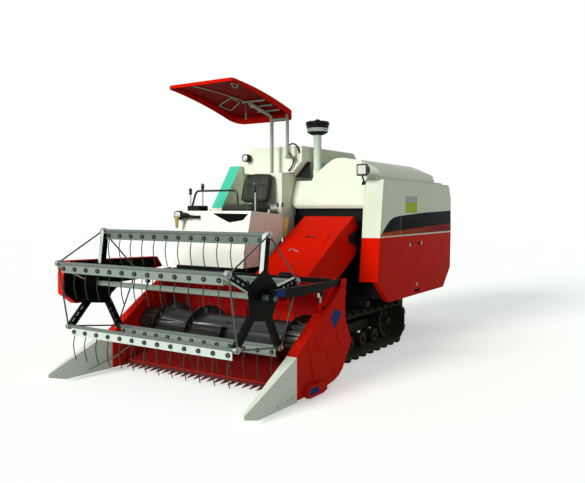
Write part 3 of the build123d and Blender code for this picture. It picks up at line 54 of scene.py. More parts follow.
# Stage 2: materials, in sRGB hex colours that are turned to linear here
def paint(hexText):
    parts = [int(hexText[i:i + 2], 16) / 255 for i in (0, 2, 4)]
    return tuple(c / 12.92 if c <= 0.04045 else ((c + 0.055) / 1.055) ** 2.4 for c in parts) + (1.0,)


def addNode(tree, kind, values, links=None):  # a node with its settings, socket values and what feeds it
    node = tree.nodes.new(kind)
    for name, value in values.items():
        if isinstance(name, int) or name in node.inputs:
            node.inputs[name].default_value = value
        else:
            setattr(node, name, value)
    for name, source in (links or {}).items():
        tree.links.new(source, node.inputs[name])
    return node


# What a finish has unless its row says otherwise: clear coat, specular level, dust low down, the height of its
# peel in metres, the scale of its grain, and metal
plainLook = {"coat": 0.0, "shine": 0.22, "dust": 0.0, "peel": 0.00003, "grain": 900.0, "metal": 0.0}
finishLooks = {
    # gloss enamel sprayed on pressed steel: two close tones, a fine orange peel, a soft sheen, field dust low down
    "redEnamel": {"tones": ("dc1a02", "cc1202"), "rough": 0.34, "shine": 0.015, "dust": 0.06},
    "whiteEnamel": {"tones": ("e6edda", "dde6d0"), "rough": 0.36, "shine": 0.08, "dust": 0.04},
    # painted light: the cowl's and the dividers' whites are paler copies of the white enamel, for the light on their
    # faces
    "cowlLitEnamel": {"tones": ("f4f5ec", "eceee2"), "rough": 0.36, "shine": 0.08, "dust": 0.03},
    "dividerLitEnamel": {"tones": ("f3f8ec", "e8f0e0"), "rough": 0.4, "shine": 0.1, "dust": 0.06, "peel": 0.00004},
    "mintEnamel": {"tones": ("dbe8dc", "c5d6ca"), "rough": 0.3, "coat": 0.1},
    "tealEnamel": {"tones": ("3fd0ae", "35c3a2"), "rough": 0.34, "coat": 0.25},
    "yellowEnamel": {"tones": ("f8ec84", "efe070"), "rough": 0.36, "shine": 0.08},
    # the same enamel darker: painted shade in the trough and in the roof's own shade underneath, and on the fingers
    # partly scoured by straw and soil and partly painted shade
    "troughShadeRed": {"tones": ("9c0a0a", "80070c"), "rough": 0.4, "shine": 0.01, "dust": 0.06},
    "guardWornShadeRed": {"tones": ("8a0f12", "6c080b"), "rough": 0.42, "shine": 0.05, "dust": 0.2, "peel": 0.00008},
    "roofUnder": {"tones": ("7c0f06", "6c0b04"), "rough": 0.45, "shine": 0.01},
    # moulded shells of the roof and the tank: coloured through, with softer and wider ripples
    "redMoulding": {"tones": ("d31802", "c41202"), "rough": 0.34, "shine": 0.015},
    "tankMoulding": {"tones": ("ebf0de", "e2e8d5"), "rough": 0.42, "shine": 0.08, "dust": 0.04, "peel": 0.00006},
    # black paint on frames and arms: thick and matt under dust, or smooth and glossy on rails and grips
    "frameBlack": {"tones": ("0a0d0c", "121615"), "rough": 0.5, "shine": 0.06, "dust": 0.3, "peel": 0.00008},
    "reelBlack": {"tones": ("070a09", "0c100e"), "rough": 0.36, "shine": 0.05, "dust": 0.06, "peel": 0.00004},
    "railBlack": {"tones": ("10110f", "191b18"), "rough": 0.25, "coat": 0.4},
    "blackGloss": {"tones": ("0b0d0d", "131616"), "rough": 0.18, "coat": 0.6, "peel": 0.00002},
    # grey paint on the posts and the bats' strips, and near-black glossy paint on the auger
    "tubeGrey": {"tones": ("a3aea2", "8d998e"), "rough": 0.3, "coat": 0.05, "dust": 0.05},
    "batEnamel": {"tones": ("8d9a90", "79867c"), "rough": 0.3, "coat": 0.05, "dust": 0.05},
    "augerGrey": {"tones": ("151a18", "0f1312"), "rough": 0.34, "coat": 0.15, "shine": 0.4, "dust": 0.05},
    # zinc plate of strips and tubes in a dull and a pale grey, and spring wire black; on the bats' strips the greys
    # are painted light, paler or duller by each bat's place on the reel
    "zincDull": {"tones": ("6f7b72", "5d6960"), "rough": 0.34, "dust": 0.05},
    "zincPale": {"tones": ("d3dcd8", "bac5c0"), "rough": 0.3, "dust": 0.05},
    "batTube": {"tones": ("6e7973", "5f6963"), "rough": 0.34, "dust": 0.05},
    "rodGrey": {"tones": ("566059", "474f49"), "rough": 0.34, "dust": 0.05},
    "springBlack": {"tones": ("23271f", "31362c"), "rough": 0.4, "dust": 0.1},
    # printed films: flat even colour with hardly a ripple
    "orangeFilm": {"tones": ("b8521c", "8e1a18"), "rough": 0.3, "shine": 0.01, "peel": 0.00001, "along": (0.3, 1.9)},
    "blackFilm": {"tones": ("0a0e0e", "101414"), "rough": 0.25, "shine": 0.01, "peel": 0.00001},
    "greenFilm": {"tones": ("b4cc10", "a8c00e"), "rough": 0.35, "shine": 0.05, "peel": 0.00001},
    "blueFilm": {"tones": ("143a80", "10306c"), "rough": 0.3, "shine": 0.04, "peel": 0.00001},
    "labelGrey": {"tones": ("aab2b8", "9aa2a8"), "rough": 0.35, "peel": 0.00001},
    # moulded black plastic: a fine grain that breaks up the light
    "blackPlastic": {"tones": ("0c100e", "131715"), "rough": 0.46, "shine": 0.12, "peel": 0.00015},
    # track rubber: matt, greyed with dust at the lugs
    "trackRubber": {"tones": ("090b0b", "141716"), "rough": 0.8, "shine": 0.05, "dust": 0.25, "peel": 0.0006},
    # worn bright steel with a broad glint, ground chrome with a sharp one, and rough castings with none
    "brightSteel": {"tones": ("b9bcba", "9c9f9c"), "rough": 0.3, "metal": 1.0},
    "hardChrome": {"tones": ("dcdedd", "cfd1d0"), "rough": 0.08, "peel": 0.00001, "metal": 1.0},
    "castIron": {"tones": ("3a3f3d", "2b2f2e"), "rough": 0.6, "dust": 0.3, "peel": 0.0006},
    # seat vinyl: an embossed leather grain with a low satin sheen
    "seatVinyl": {"tones": ("34392d", "2a2f25"), "rough": 0.45, "shine": 0.14, "peel": 0.0003, "grain": 420.0},
    # the dust bowl's clear band, smoky from inside, and the lamps' pressed glass with its fine pattern
    "smokyBowl": {"tones": ("b9c8c0", "9fb0a8"), "rough": 0.16, "coat": 0.4, "peel": 0.00002},
    "lampGlass": {"tones": ("d9ddd6", "c3c8c0"), "rough": 0.12, "coat": 0.8, "peel": 0.0002, "grain": 260.0},
    "amberGlass": {"tones": ("a8993f", "8f8030"), "rough": 0.2, "coat": 0.6, "peel": 0.0001, "grain": 300.0},
}
finishScale = {  # shared by all finishes: scale of the tone clouds and dust specks, dust's colour and top height
    "fade": 1.6, "speckle": 38.0, "dust": "8d8474", "dustTop": 0.75, "dustGain": 1.6,
    "peelStrength": 0.3, "coatRough": 0.08,
}


def makeFinish(name, ownLook):
    look = {**plainLook, **ownLook}
    material = bpy.data.materials.new(name)
    material.use_nodes = True
    tree = material.node_tree
    shader = tree.nodes["Principled BSDF"]
    place = addNode(tree, "ShaderNodeTexCoord", {}).outputs["Object"]
    height = addNode(tree, "ShaderNodeSeparateXYZ", {}, {"Vector": place})
    # the paint's two tones, in soft clouds, or along the machine where a band turns from one to the other
    clouds = {"Scale": finishScale["fade"], "Detail": 4.0}
    share = addNode(tree, "ShaderNodeTexNoise", clouds, {"Vector": place}).outputs["Fac"]
    if "along" in look:
        reach = {"From Min": look["along"][0], "From Max": look["along"][1]}
        share = addNode(tree, "ShaderNodeMapRange", reach, {"Value": height.outputs["Y"]}).outputs[0]
    tones = {"data_type": "RGBA", 6: paint(look["tones"][0]), 7: paint(look["tones"][1])}
    base = addNode(tree, "ShaderNodeMix", tones, {0: share})
    # dust in specks, more of it the lower it lies
    dustRange = {"From Min": finishScale["dustTop"], "From Max": 0.0}
    low = addNode(tree, "ShaderNodeMapRange", dustRange, {"Value": height.outputs["Z"]})
    specks = {"Scale": finishScale["speckle"], "Detail": 6.0}
    speckle = addNode(tree, "ShaderNodeTexNoise", specks, {"Vector": place})
    lowSpecks = {0: low.outputs[0], 1: speckle.outputs["Fac"]}
    mask = addNode(tree, "ShaderNodeMath", {"operation": "MULTIPLY"}, lowSpecks)
    amount = {"operation": "MULTIPLY", 1: look["dust"] * finishScale["dustGain"]}
    dusted = addNode(tree, "ShaderNodeMath", amount, {0: mask.outputs[0]})
    dusty = {"data_type": "RGBA", 7: paint(finishScale["dust"])}
    seen = addNode(tree, "ShaderNodeMix", dusty, {0: dusted.outputs[0], 6: base.outputs[2]})
    tree.links.new(seen.outputs[2], shader.inputs["Base Color"])
    shader.inputs["Roughness"].default_value = look["rough"]
    shader.inputs["Specular IOR Level"].default_value = look["shine"]
    shader.inputs["Metallic"].default_value = look["metal"]
    shader.inputs["Coat Weight"].default_value = look["coat"]
    shader.inputs["Coat Roughness"].default_value = finishScale["coatRough"]
    # the peel or grain of the surface, as a bump
    peel = addNode(tree, "ShaderNodeTexNoise", {"Scale": look["grain"], "Detail": 2.0}, {"Vector": place})
    bumps = {"Strength": finishScale["peelStrength"], "Distance": look["peel"]}
    bump = addNode(tree, "ShaderNodeBump", bumps, {"Height": peel.outputs["Fac"]})
    tree.links.new(bump.outputs["Normal"], shader.inputs["Normal"])
    return material


finishes = {name: makeFinish(name, look) for name, look in finishLooks.items()}
print("stage 2: the finishes are made,", len(finishes))

# Stage 3: the CAD nodes, with the finish and the edge radius in metres that each one's dressed copy gets
nodeDress = {
    "track_left": ("trackRubber", 0.004), "track_right": ("trackRubber", 0.004),
    "undercarriage_left": ("frameBlack", 0.0), "undercarriage_right": ("frameBlack", 0.0),
    "chassis_frame": ("frameBlack", 0.004), "outriggers_left": ("frameBlack", 0.004),
    "side_frame_right": ("frameBlack", 0.004), "threshing_body": ("frameBlack", 0.0),
    "side_cover_upper": ("whiteEnamel", 0.006), "side_cover_lower": ("redEnamel", 0.006),
    "front_cover": ("whiteEnamel", 0.012), "corner_cover": ("frameBlack", 0.001),
    # the cowl gets the paler white as painted light
    "straw_hood": ("whiteEnamel", 0.008), "front_cowl": ("cowlLitEnamel", 0.014),
    "operator_deck": ("frameBlack", 0.0), "engine_cover": ("blackPlastic", 0.012),
    "side_column": ("whiteEnamel", 0.016), "radiator_housing": ("whiteEnamel", 0.012),
    "canopy_roof": ("redMoulding", 0.004), "canopy_posts": ("tubeGrey", 0.0),
    "grain_tank": ("tankMoulding", 0.022), "bag_spouts": ("frameBlack", 0.003),
    "engine_block": ("castIron", 0.02), "precleaner": ("blackPlastic", 0.004),
    "guard_rail": ("railBlack", 0.0), "control_levers": ("brightSteel", 0.002),
    # the trough's darker red is painted shade
    "feeder_house": ("redEnamel", 0.006), "header_trough": ("troughShadeRed", 0.0),
    "header_side_left": ("redEnamel", 0.003), "header_side_right": ("redEnamel", 0.003),
    # the dividers get the paler white as painted light
    "divider_left": ("dividerLitEnamel", 0.008), "divider_right": ("dividerLitEnamel", 0.008),
    # the cutter guards' darker red is partly wear and partly painted shade
    "cutter_guards": ("guardWornShadeRed", 0.0), "knife_drive_box": ("redEnamel", 0.008),
    "reel_ram_barrel_left": ("redEnamel", 0.002), "reel_ram_barrel_right": ("redEnamel", 0.002),
    "lift_ram_barrel": ("frameBlack", 0.002), "lift_ram_rod": ("hardChrome", 0.0),
    "knife": ("brightSteel", 0.0), "auger": ("augerGrey", 0.0), "reel_frame": ("reelBlack", 0.004),
    "reel_drive_guard": ("redEnamel", 0.0015), "reel_ram_rod_left": ("hardChrome", 0.0),
    "reel_ram_rod_right": ("hardChrome", 0.0), "reel": ("reelBlack", 0.001), "reel_ring": ("tubeGrey", 0.0),
    "threshing_hood": ("whiteEnamel", 0.01), "radiator_door": ("redEnamel", 0.002),
    "bag_platform": ("frameBlack", 0.003), "lamps": ("blackPlastic", 0.003),
}
stripFinishes = ["zincDull", "batEnamel", "zincPale", "batEnamel", "zincDull"]  # painted light: each bat's strip is paler or duller by how light falls at its place on the reel
for number, stripFinish in enumerate(stripFinishes, 1):
    nodeDress[f"bat_{number}"] = (stripFinish, 0.0)
weldGap = 0.00002  # points of a CAD mesh closer than this are one
flatTurn = 0.6  # neighbouring faces that turn by fewer degrees are one flat
dressed = {}


def alone(piece=None):  # nothing selected but this piece
    if bpy.context.object and bpy.context.object.mode != "OBJECT":
        bpy.ops.object.mode_set(mode="OBJECT")
    bpy.ops.object.select_all(action="DESELECT")
    if piece:
        piece.select_set(True)
        bpy.context.view_layer.objects.active = piece


def edit(piece):
    alone(piece)
    bpy.ops.object.mode_set(mode="EDIT")
    bpy.ops.mesh.select_all(action="SELECT")


def editFaces(piece, test):  # edit mode with the faces selected whose middle and normal pass the test
    edit(piece)
    bpy.ops.mesh.select_all(action="DESELECT")
    bpy.ops.object.mode_set(mode="OBJECT")
    for face in piece.data.polygons:
        face.select = test(face.center, face.normal)
    bpy.ops.object.mode_set(mode="EDIT")


def settle(piece):  # its place, turn and size go into its mesh
    alone(piece)
    bpy.ops.object.transform_apply(location=True, rotation=True, scale=True)


def joinAll(pieces):
    alone(pieces[0])
    for piece in pieces[1:]:
        piece.select_set(True)
    bpy.ops.object.join()
    return bpy.context.object


def roundEdges(piece, width, segments=2, angle=30.0):
    alone(piece)
    bevel = piece.modifiers.new("edges", "BEVEL")
    bevel.width = width
    bevel.segments = segments
    bevel.limit_method = "ANGLE"
    bevel.angle_limit = math.radians(angle)
    bpy.ops.object.modifier_apply(modifier=bevel.name)


def smooth(piece, angle=32.0):  # smooth by angle; flats keep their own normals up to their rounded edges
    alone(piece)
    bpy.ops.object.shade_smooth_by_angle(angle=math.radians(angle))
    flats = piece.modifiers.new("flats", "WEIGHTED_NORMAL")
    flats.keep_sharp = True
    bpy.ops.object.modifier_apply(modifier=flats.name)


def paintPiece(piece, finish, angle=32.0):  # settled, one finish, smooth shading
    settle(piece)
    piece.data.materials.clear()
    piece.data.materials.append(finishes[finish])
    smooth(piece, angle)
    return piece


def finishPiece(piece, finish, body, angle=32.0):  # painted, and set on the body it rides on
    paintPiece(piece, finish, angle)
    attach(piece, body)
    return piece


def dressNode(name, finish, width):
    node = cadNodes[name]
    piece = bpy.data.objects.new("skin_" + name, node.data.copy())
    bpy.context.scene.collection.objects.link(piece)
    edit(piece)
    bpy.ops.mesh.remove_doubles(threshold=weldGap)
    bpy.ops.mesh.dissolve_limited(angle_limit=math.radians(flatTurn))
    bpy.ops.object.mode_set(mode="OBJECT")
    if width:
        roundEdges(piece, width)
    finishPiece(piece, finish, bodyOfNode[name])
    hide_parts(name)
    dressed[name] = piece


def paintFaces(piece, finish, test):  # faces whose middle and normal pass the test get another finish
    piece.data.materials.append(finishes[finish])
    slotNumber = len(piece.data.materials) - 1
    for face in piece.data.polygons:
        if test(face.center, face.normal):
            face.material_index = slotNumber


for nodeName, (finishName, edgeWidth) in nodeDress.items():
    dressNode(nodeName, finishName, edgeWidth)
print("stage 3: the CAD nodes are dressed,", len(dressed))


# Stage 4: films, plates and fasteners
def lineZ(line, y):  # height of a line of (y, z) points at y
    for (y0, z0), (y1, z1) in zip(line, line[1:]):
        if y <= y1 or (y1, z1) == line[-1]:
            return z0 + (z1 - z0) * (y - y0) / (y1 - y0)
    return line[0][1]


def cutAlong(piece, line):  # cuts the faces along a line of (y, z) points, right through in X
    edit(piece)
    for (y0, z0), (y1, z1) in zip(line, line[1:]):
        bpy.ops.mesh.select_all(action="SELECT")
        bpy.ops.mesh.bisect(plane_co=(0, y0, z0), plane_no=(0, z0 - z1, y1 - y0), threshold=0.00001)
    alone(piece)


def plateAt(across, at, outline, thick):  # a flat plate square to X or Y, cut to a convex outline, facing +X or -Y
    alone()
    middle = [sum(point[i] for point in outline) / len(outline) for i in (0, 1)]
    size = 4 * max(math.dist(point, middle) for point in outline)
    onX = across == "x"
    place = (at, *middle) if onX else (middle[0], at, middle[1])
    turn = (math.pi / 2, 0, math.pi / 2) if onX else (math.pi / 2, 0, 0)
    bpy.ops.mesh.primitive_plane_add(size=size, location=place, rotation=turn)
    piece = bpy.context.object
    edit(piece)
    for (a0, b0), (a1, b1) in zip(outline, outline[1:] + outline[:1]):
        along, up = a1 - a0, b1 - b0
        if up * (middle[0] - a0) - along * (middle[1] - b0) > 0:
            along, up = -along, -up
        start = (at, a0, b0) if onX else (a0, at, b0)
        out = (0, up, -along) if onX else (up, 0, -along)
        bpy.ops.mesh.select_all(action="SELECT")
        bpy.ops.mesh.bisect(plane_co=start, plane_no=out, clear_outer=True, threshold=0.00001)
    bpy.ops.mesh.select_all(action="SELECT")
    push = (thick, 0, 0) if onX else (0, -thick, 0)
    bpy.ops.mesh.extrude_region_move(TRANSFORM_OT_translate={"value": push})
    bpy.ops.mesh.select_all(action="SELECT")
    bpy.ops.mesh.normals_make_consistent(inside=False)
    alone(piece)
    return piece


def sheetPlate(name, across, at, outline, thick, finish, body, edge=0.0):
    piece = plateAt(across, at, outline, thick)
    piece.name = name
    if edge:
        roundEdges(piece, edge, 2, 40)
    return finishPiece(piece, finish, body)


def rectangle(low, high):  # the outline of an upright rectangle between two corners
    return [low, (high[0], low[1]), high, (low[0], high[1])]


coverStripes = {  # (y, z) on the side cover: the white line's top, the orange band's top and the black band's top
    "outside": 0.872, "facing": 0.6, "seamY": 0.767, "seamWidth": 0.005, "seamDepth": 0.003, "seamReach": 0.0004,
    "seamTop": 1.48, "shell": 0.8,
    "whiteTop": [(0.20, 1.2565), (2.42, 1.259)],
    "orangeTop": [(0.20, 1.291), (2.42, 1.325)],
    "blackTop": [
        (0.227, 1.261), (0.304, 1.315), (0.382, 1.370), (0.473, 1.426), (0.590, 1.459), (0.735, 1.473),
        (2.006, 1.519), (2.42, 1.528),
    ],
}


def makeStripes():
    cover, look = dressed["side_cover_upper"], coverStripes
    whiteTop, orangeTop, blackTop = look["whiteTop"], look["orangeTop"], look["blackTop"]
    for line in (whiteTop, orangeTop, blackTop):
        cutAlong(cover, line)
    half = look["seamWidth"] / 2
    for y in (look["seamY"] - half, look["seamY"] + half):
        cutAlong(cover, [(y, 1.0), (y, 2.0)])

    def band(low, high):  # a test for the cover's outer face between two lines
        def inBand(middle, normal):
            if middle.x < look["outside"] or normal.x < look["facing"]:
                return False
            top = min(lineZ(high, middle.y), lineZ(blackTop, middle.y))
            return lineZ(low, middle.y) < middle.z < top
        return inBand

    paintFaces(cover, "orangeFilm", band(whiteTop, orangeTop))
    paintFaces(cover, "blackFilm", band(orangeTop, blackTop))

    def onSeam(middle, normal):  # the seam of the cover's two halves, pressed in up to the black band's top
        onFace = normal.x > 0.9 and middle.x > look["outside"]
        return onFace and abs(middle.y - look["seamY"]) < half and middle.z < lineZ(blackTop, middle.y)

    editFaces(cover, onSeam)
    bpy.ops.mesh.extrude_region_move(TRANSFORM_OT_translate={"value": (-look["seamDepth"], 0, 0)})
    smooth(cover)

    def inSeam(middle, normal):  # the seam's walls and floor, which show the bare enamel
        near = abs(middle.y - look["seamY"]) < half + look["seamReach"]
        return near and middle.x > look["shell"] and middle.z < look["seamTop"]

    paintFaces(cover, "whiteEnamel", inSeam)


makeStripes()

sideCover = {  # its face and what sits on it: bare labels, and lift-off latches with their bright halves
    "face": 0.8752, "filmThick": 0.0012, "filmEdge": 0.0004,
    "labels": {
        "labelUpper": ((0.894, 1.626), (1.236, 1.694), "labelGrey"),
        "labelLower": ((0.894, 1.505), (1.236, 1.6255), "greenFilm"),
    },
    "latches": {"latchFront": (1.020, 1.118), "latchRear": (1.365, 1.125), "latchLow": (1.235, 0.640)},
    "latchWide": 0.034, "latchTall": 0.040, "latchThick": 0.003, "latchEdge": 0.001,
}


def makeSidePlates():
    look = sideCover
    for name, (low, high, film) in look["labels"].items():
        outline = rectangle(low, high)
        sheetPlate(name, "x", look["face"], outline, look["filmThick"], film, "chassis", look["filmEdge"])
    for name, (y, z) in look["latches"].items():
        outline = rectangle((y, z), (y + look["latchWide"], z + look["latchTall"]))
        sheetPlate(name, "x", look["face"], outline, look["latchThick"], "zincPale", "chassis", look["latchEdge"])


makeSidePlates()

blueFilms = {  # bare blue films: the face they sit on, outline and body, and the one on the knife's drive casing
    "sidePlate": (1.0802, [(-1.188, 0.616), (-1.124, 0.506), (-0.995, 0.636), (-1.109, 0.690)], "header"),
    "armPlate": (1.0462, [(-1.965, 0.880), (-1.851, 0.868), (-1.851, 0.925), (-1.965, 0.928)], "reel_frame"),
}
blueThick = 0.0016
blueEdge = 0.0005
driveFilm = {"y": (-1.610, -1.470), "z": (0.050, 0.104)}


def makeBlueFilms():
    for name, (at, outline, body) in blueFilms.items():
        sheetPlate(name, "x", at, outline, blueThick, "blueFilm", body, blueEdge)
    casing = dressed["knife_drive_box"]
    (y0, y1), (z0, z1) = driveFilm["y"], driveFilm["z"]
    for line in ([(y0, z0), (y0, z1)], [(y1, z0), (y1, z1)], [(y0, z0), (y1, z0)], [(y0, z1), (y1, z1)]):
        cutAlong(casing, line)
    smooth(casing)
    paintFaces(casing, "blueFilm", lambda c, n: n.x > 0.9 and y0 < c.y < y1 and z0 < c.z < z1)


makeBlueFilms()


def copiesAt(piece, name, places, body):  # copies of a piece at each shift, in one mesh
    copies = []
    for shift in places:
        copy = piece.copy()
        copy.data = piece.data.copy()
        bpy.context.scene.collection.objects.link(copy)
        copy.location = shift
        copies.append(copy)
    joined = joinAll(copies)
    joined.name = name
    settle(joined)
    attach(joined, body)


def remove(piece):
    bpy.data.objects.remove(piece, do_unlink=True)


bolt = {  # shares of the head's radius
    "headLift": 0.2, "headEdge": 0.16, "washerReach": 1.75, "washerThick": 0.3, "washerEdge": 0.08,
    "headSides": 6, "washerSides": 14,
}


def boltHead(radius, height, facing):  # a hexagon head on its washer at the origin, facing +X or -Y
    turn = (0, math.pi / 2, 0) if facing == "x" else (math.pi / 2, 0, 0)
    out = Vector((1, 0, 0)) if facing == "x" else Vector((0, -1, 0))
    thick = radius * bolt["washerThick"]
    headMiddle = height / 2 + radius * bolt["headLift"]
    parts = []
    for sides, reach, depth, middle, edge in (
        (bolt["headSides"], radius, height, headMiddle, radius * bolt["headEdge"]),
        (bolt["washerSides"], radius * bolt["washerReach"], thick, thick / 2, radius * bolt["washerEdge"]),
    ):
        alone()
        bpy.ops.mesh.primitive_cylinder_add(
            vertices=sides, radius=reach, depth=depth, location=out * middle, rotation=turn)
        part = bpy.context.object
        roundEdges(part, edge, 1, 60)
        parts.append(paintPiece(part, "brightSteel"))
    return joinAll(parts)


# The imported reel: bat axes on a circle, tines at a pitch along each bat, the strip's front face. All that stands on
# the bats finds its place from here.
reelParts = {
    "axis": (-1.970, 0.870), "radius": 0.484, "phase": -8.0, "count": 5, "tines": 13, "pitch": 0.142,
    "stripFace": -0.003, "coilDrop": -0.044, "coilRadius": 0.0145, "coilStep": 0.0008, "wire": 0.0042, "turns": 2,
    "turnPitch": 1.8, "bolt": 0.0062, "boltHeight": 0.009, "nutX": 0.949, "nutRadius": 0.009, "nutHeight": 0.010,
    "rodX": 0.9295, "pinReach": 0.0285, "tubeHalf": 0.88, "tubeReach": 0.03, "flangeAlong": (0.2, 0.46),
    "flangeAcross": (0.028, 0.033), "tineTop": 0.083, "batTubeLow": 0.016, "guardShadeFromX": -1.11,
}


def batPlace(k):
    turn = math.radians(reelParts["phase"] + 360 / reelParts["count"] * k)
    y, z = reelParts["axis"]
    return y - reelParts["radius"] * math.sin(turn), z + reelParts["radius"] * math.cos(turn)


def tineCoil():  # turns of spring wire round a bolt, in front of the strip
    look = reelParts
    parts = []
    for turn in range(look["turns"]):
        alone()
        out = -look["wire"] * (1 + look["turnPitch"] * turn)
        bpy.ops.mesh.primitive_torus_add(
            major_radius=look["coilRadius"] - look["coilStep"] * turn, minor_radius=look["wire"],
            major_segments=16, minor_segments=6, location=(0, out, 0), rotation=(math.pi / 2, 0, 0))
        parts.append(paintPiece(bpy.context.object, "castIron", 60))
    parts.append(boltHead(look["bolt"], look["boltHeight"], "y"))
    return joinAll(parts)


def makeReelFasteners():  # a coil at each tine, and a bright nut on each bat's end outside the spider
    look = reelParts
    coil = tineCoil()
    nut = boltHead(look["nutRadius"], look["nutHeight"], "x")
    for k in range(look["count"]):
        y, z = batPlace(k)
        places = []
        for i in range(look["tines"]):
            x = (i - (look["tines"] - 1) / 2) * look["pitch"]
            places.append((x, y + look["stripFace"], z + look["coilDrop"]))
        copiesAt(coil, f"tineCoils_{k + 1}", places, f"bat_{k + 1}")
    for k in range(look["count"]):
        copiesAt(nut, f"batNut_{k + 1}", [(look["nutX"], *batPlace(k))], f"bat_{k + 1}")
    remove(coil)
    remove(nut)


makeReelFasteners()


def nearBat(middle):  # at a bat's pin, seen from the side
    places = [batPlace(k) for k in range(reelParts["count"])]
    return any(math.dist((middle.y, middle.z), place) < reelParts["pinReach"] for place in places)


def onLeadingFlange(middle, normal):  # the leading flange of an arm, painted pale as a painted highlight along the arm's edge
    look = reelParts
    y, z = look["axis"]
    (alongLow, alongHigh), (acrossLow, acrossHigh) = look["flangeAlong"], look["flangeAcross"]
    for k in range(look["count"]):
        batY, batZ = batPlace(k)
        outY, outZ = (batY - y) / look["radius"], (batZ - z) / look["radius"]
        along = (middle.y - y) * outY + (middle.z - z) * outZ
        across = -(middle.y - y) * outZ + (middle.z - z) * outY
        leads = normal.y * -outZ + normal.z * outY > 0.8
        if alongLow < along < alongHigh and acrossLow < across < acrossHigh and leads:
            return True
    return False


def finishReel():
    look, reel = reelParts, dressed["reel"]
    paintFaces(reel, "rodGrey", lambda c, n: abs(c.x) > look["rodX"] and not nearBat(c))
    # painted highlight: the arms' leading flanges get the pale zinc
    paintFaces(reel, "zincPale", onLeadingFlange)
    paintFaces(reel, "brightSteel", lambda c, n: nearBat(c))

    def onCentreTube(middle, normal):
        return abs(middle.x) < look["tubeHalf"] and math.dist((middle.y, middle.z), look["axis"]) < look["tubeReach"]

    paintFaces(reel, "tubeGrey", onCentreTube)
    for k in range(look["count"]):
        bat, (y, z) = dressed[f"bat_{k + 1}"], batPlace(k)
        paintFaces(bat, "springBlack", lambda c, n: c.z < z - look["tineTop"])
        paintFaces(bat, "batTube", lambda c, n: c.z > z - look["batTubeLow"])
    # painted shade: the drive guard's inner face behind its red flange is painted black for the shade where the chain
    # runs
    paintFaces(dressed["reel_drive_guard"], "frameBlack", lambda c, n: n.x > 0.9 and c.x < look["guardShadeFromX"])


finishReel()
print("stage 4: films, plates, bolts and coils are on")


# Stage 5: the driver's station
barEdge = 0.22  # how much of a rod's radius its rounded end takes


def barAt(name, start, end, radius, finish, body, sides=12, tip=1.0):  # a straight rod, its far end scaled by tip
    alone()
    a, b = Vector(start), Vector(end)
    bpy.ops.mesh.primitive_cone_add(
        vertices=sides, radius1=radius, radius2=radius * tip, depth=(b - a).length, location=(a + b) / 2,
        rotation=(b - a).to_track_quat("Z", "Y").to_euler())
    piece = bpy.context.object
    piece.name = name
    roundEdges(piece, radius * barEdge, 2, 50)
    finishPiece(piece, finish, body)


def wireAt(name, points, radius, finish, body, closed=False):  # a bent wire or tube through soft corners
    curve = bpy.data.curves.new(name, "CURVE")
    curve.dimensions = "3D"
    curve.bevel_depth = radius
    curve.bevel_resolution = 3
    curve.resolution_u = 8
    curve.use_fill_caps = True
    spline = curve.splines.new("NURBS")
    spline.points.add(len(points) - 1)
    for point, place in zip(spline.points, points):
        point.co = (*place, 1.0)
    spline.use_cyclic_u = closed
    spline.use_endpoint_u = not closed
    spline.order_u = 3
    wire = bpy.data.objects.new(name, curve)
    bpy.context.scene.collection.objects.link(wire)
    alone(wire)
    bpy.ops.object.convert(target="MESH")
    finishPiece(bpy.context.object, finish, body)


def blockAt(name, low, high, finish, body, edge):  # a rounded block between two corners
    alone()
    low, high = Vector(low), Vector(high)
    bpy.ops.mesh.primitive_cube_add(size=1, location=(low + high) / 2, scale=high - low)
    piece = bpy.context.object
    piece.name = name
    settle(piece)
    roundEdges(piece, edge, 3, 40)
    finishPiece(piece, finish, body)


# Padded cushion and back in the CAD pads' places. In the shape, bolsters, channel and seams are shares of the pad's
# half width or half length: where they lie, how wide they are and how high, in shares of the crown.
seat = {
    "cuts": 24, "roundness": 0.05, "crown": 0.010, "cushionFace": 0.5, "backFace": 1.0, "fill": 0.8,
    "cornerPower": 7, "domePower": 4, "rimPower": 8, "rimDrop": 0.20,
    "bolster": (0.76, 0.13, 0.9), "channel": (0.18, 0.05, 1.0), "seamLine": (0.58, 0.05, 1.0), "channelHalf": 0.66,
    "topGap": 0.006, "backThick": 0.062, "leanDepth": 0.095, "backShort": 0.030, "foot": (0.011, 0.012),
    "welt": 0.006, "weltAt": 0.93, "seam": 0.0026, "seamLift": 0.002,
    "rim": [(-0.93, 0.06), (-0.97, 0.5), (-0.90, 0.93), (0, 0.985), (0.90, 0.93), (0.97, 0.5), (0.93, 0.06)],
    "frame": [(-0.60, 0.16), (-0.62, 0.50), (-0.58, 0.78), (0.58, 0.78), (0.62, 0.50), (0.60, 0.16)],
    "cross": [(-0.61, 0.60), (0.0, 0.605), (0.61, 0.60)],
}


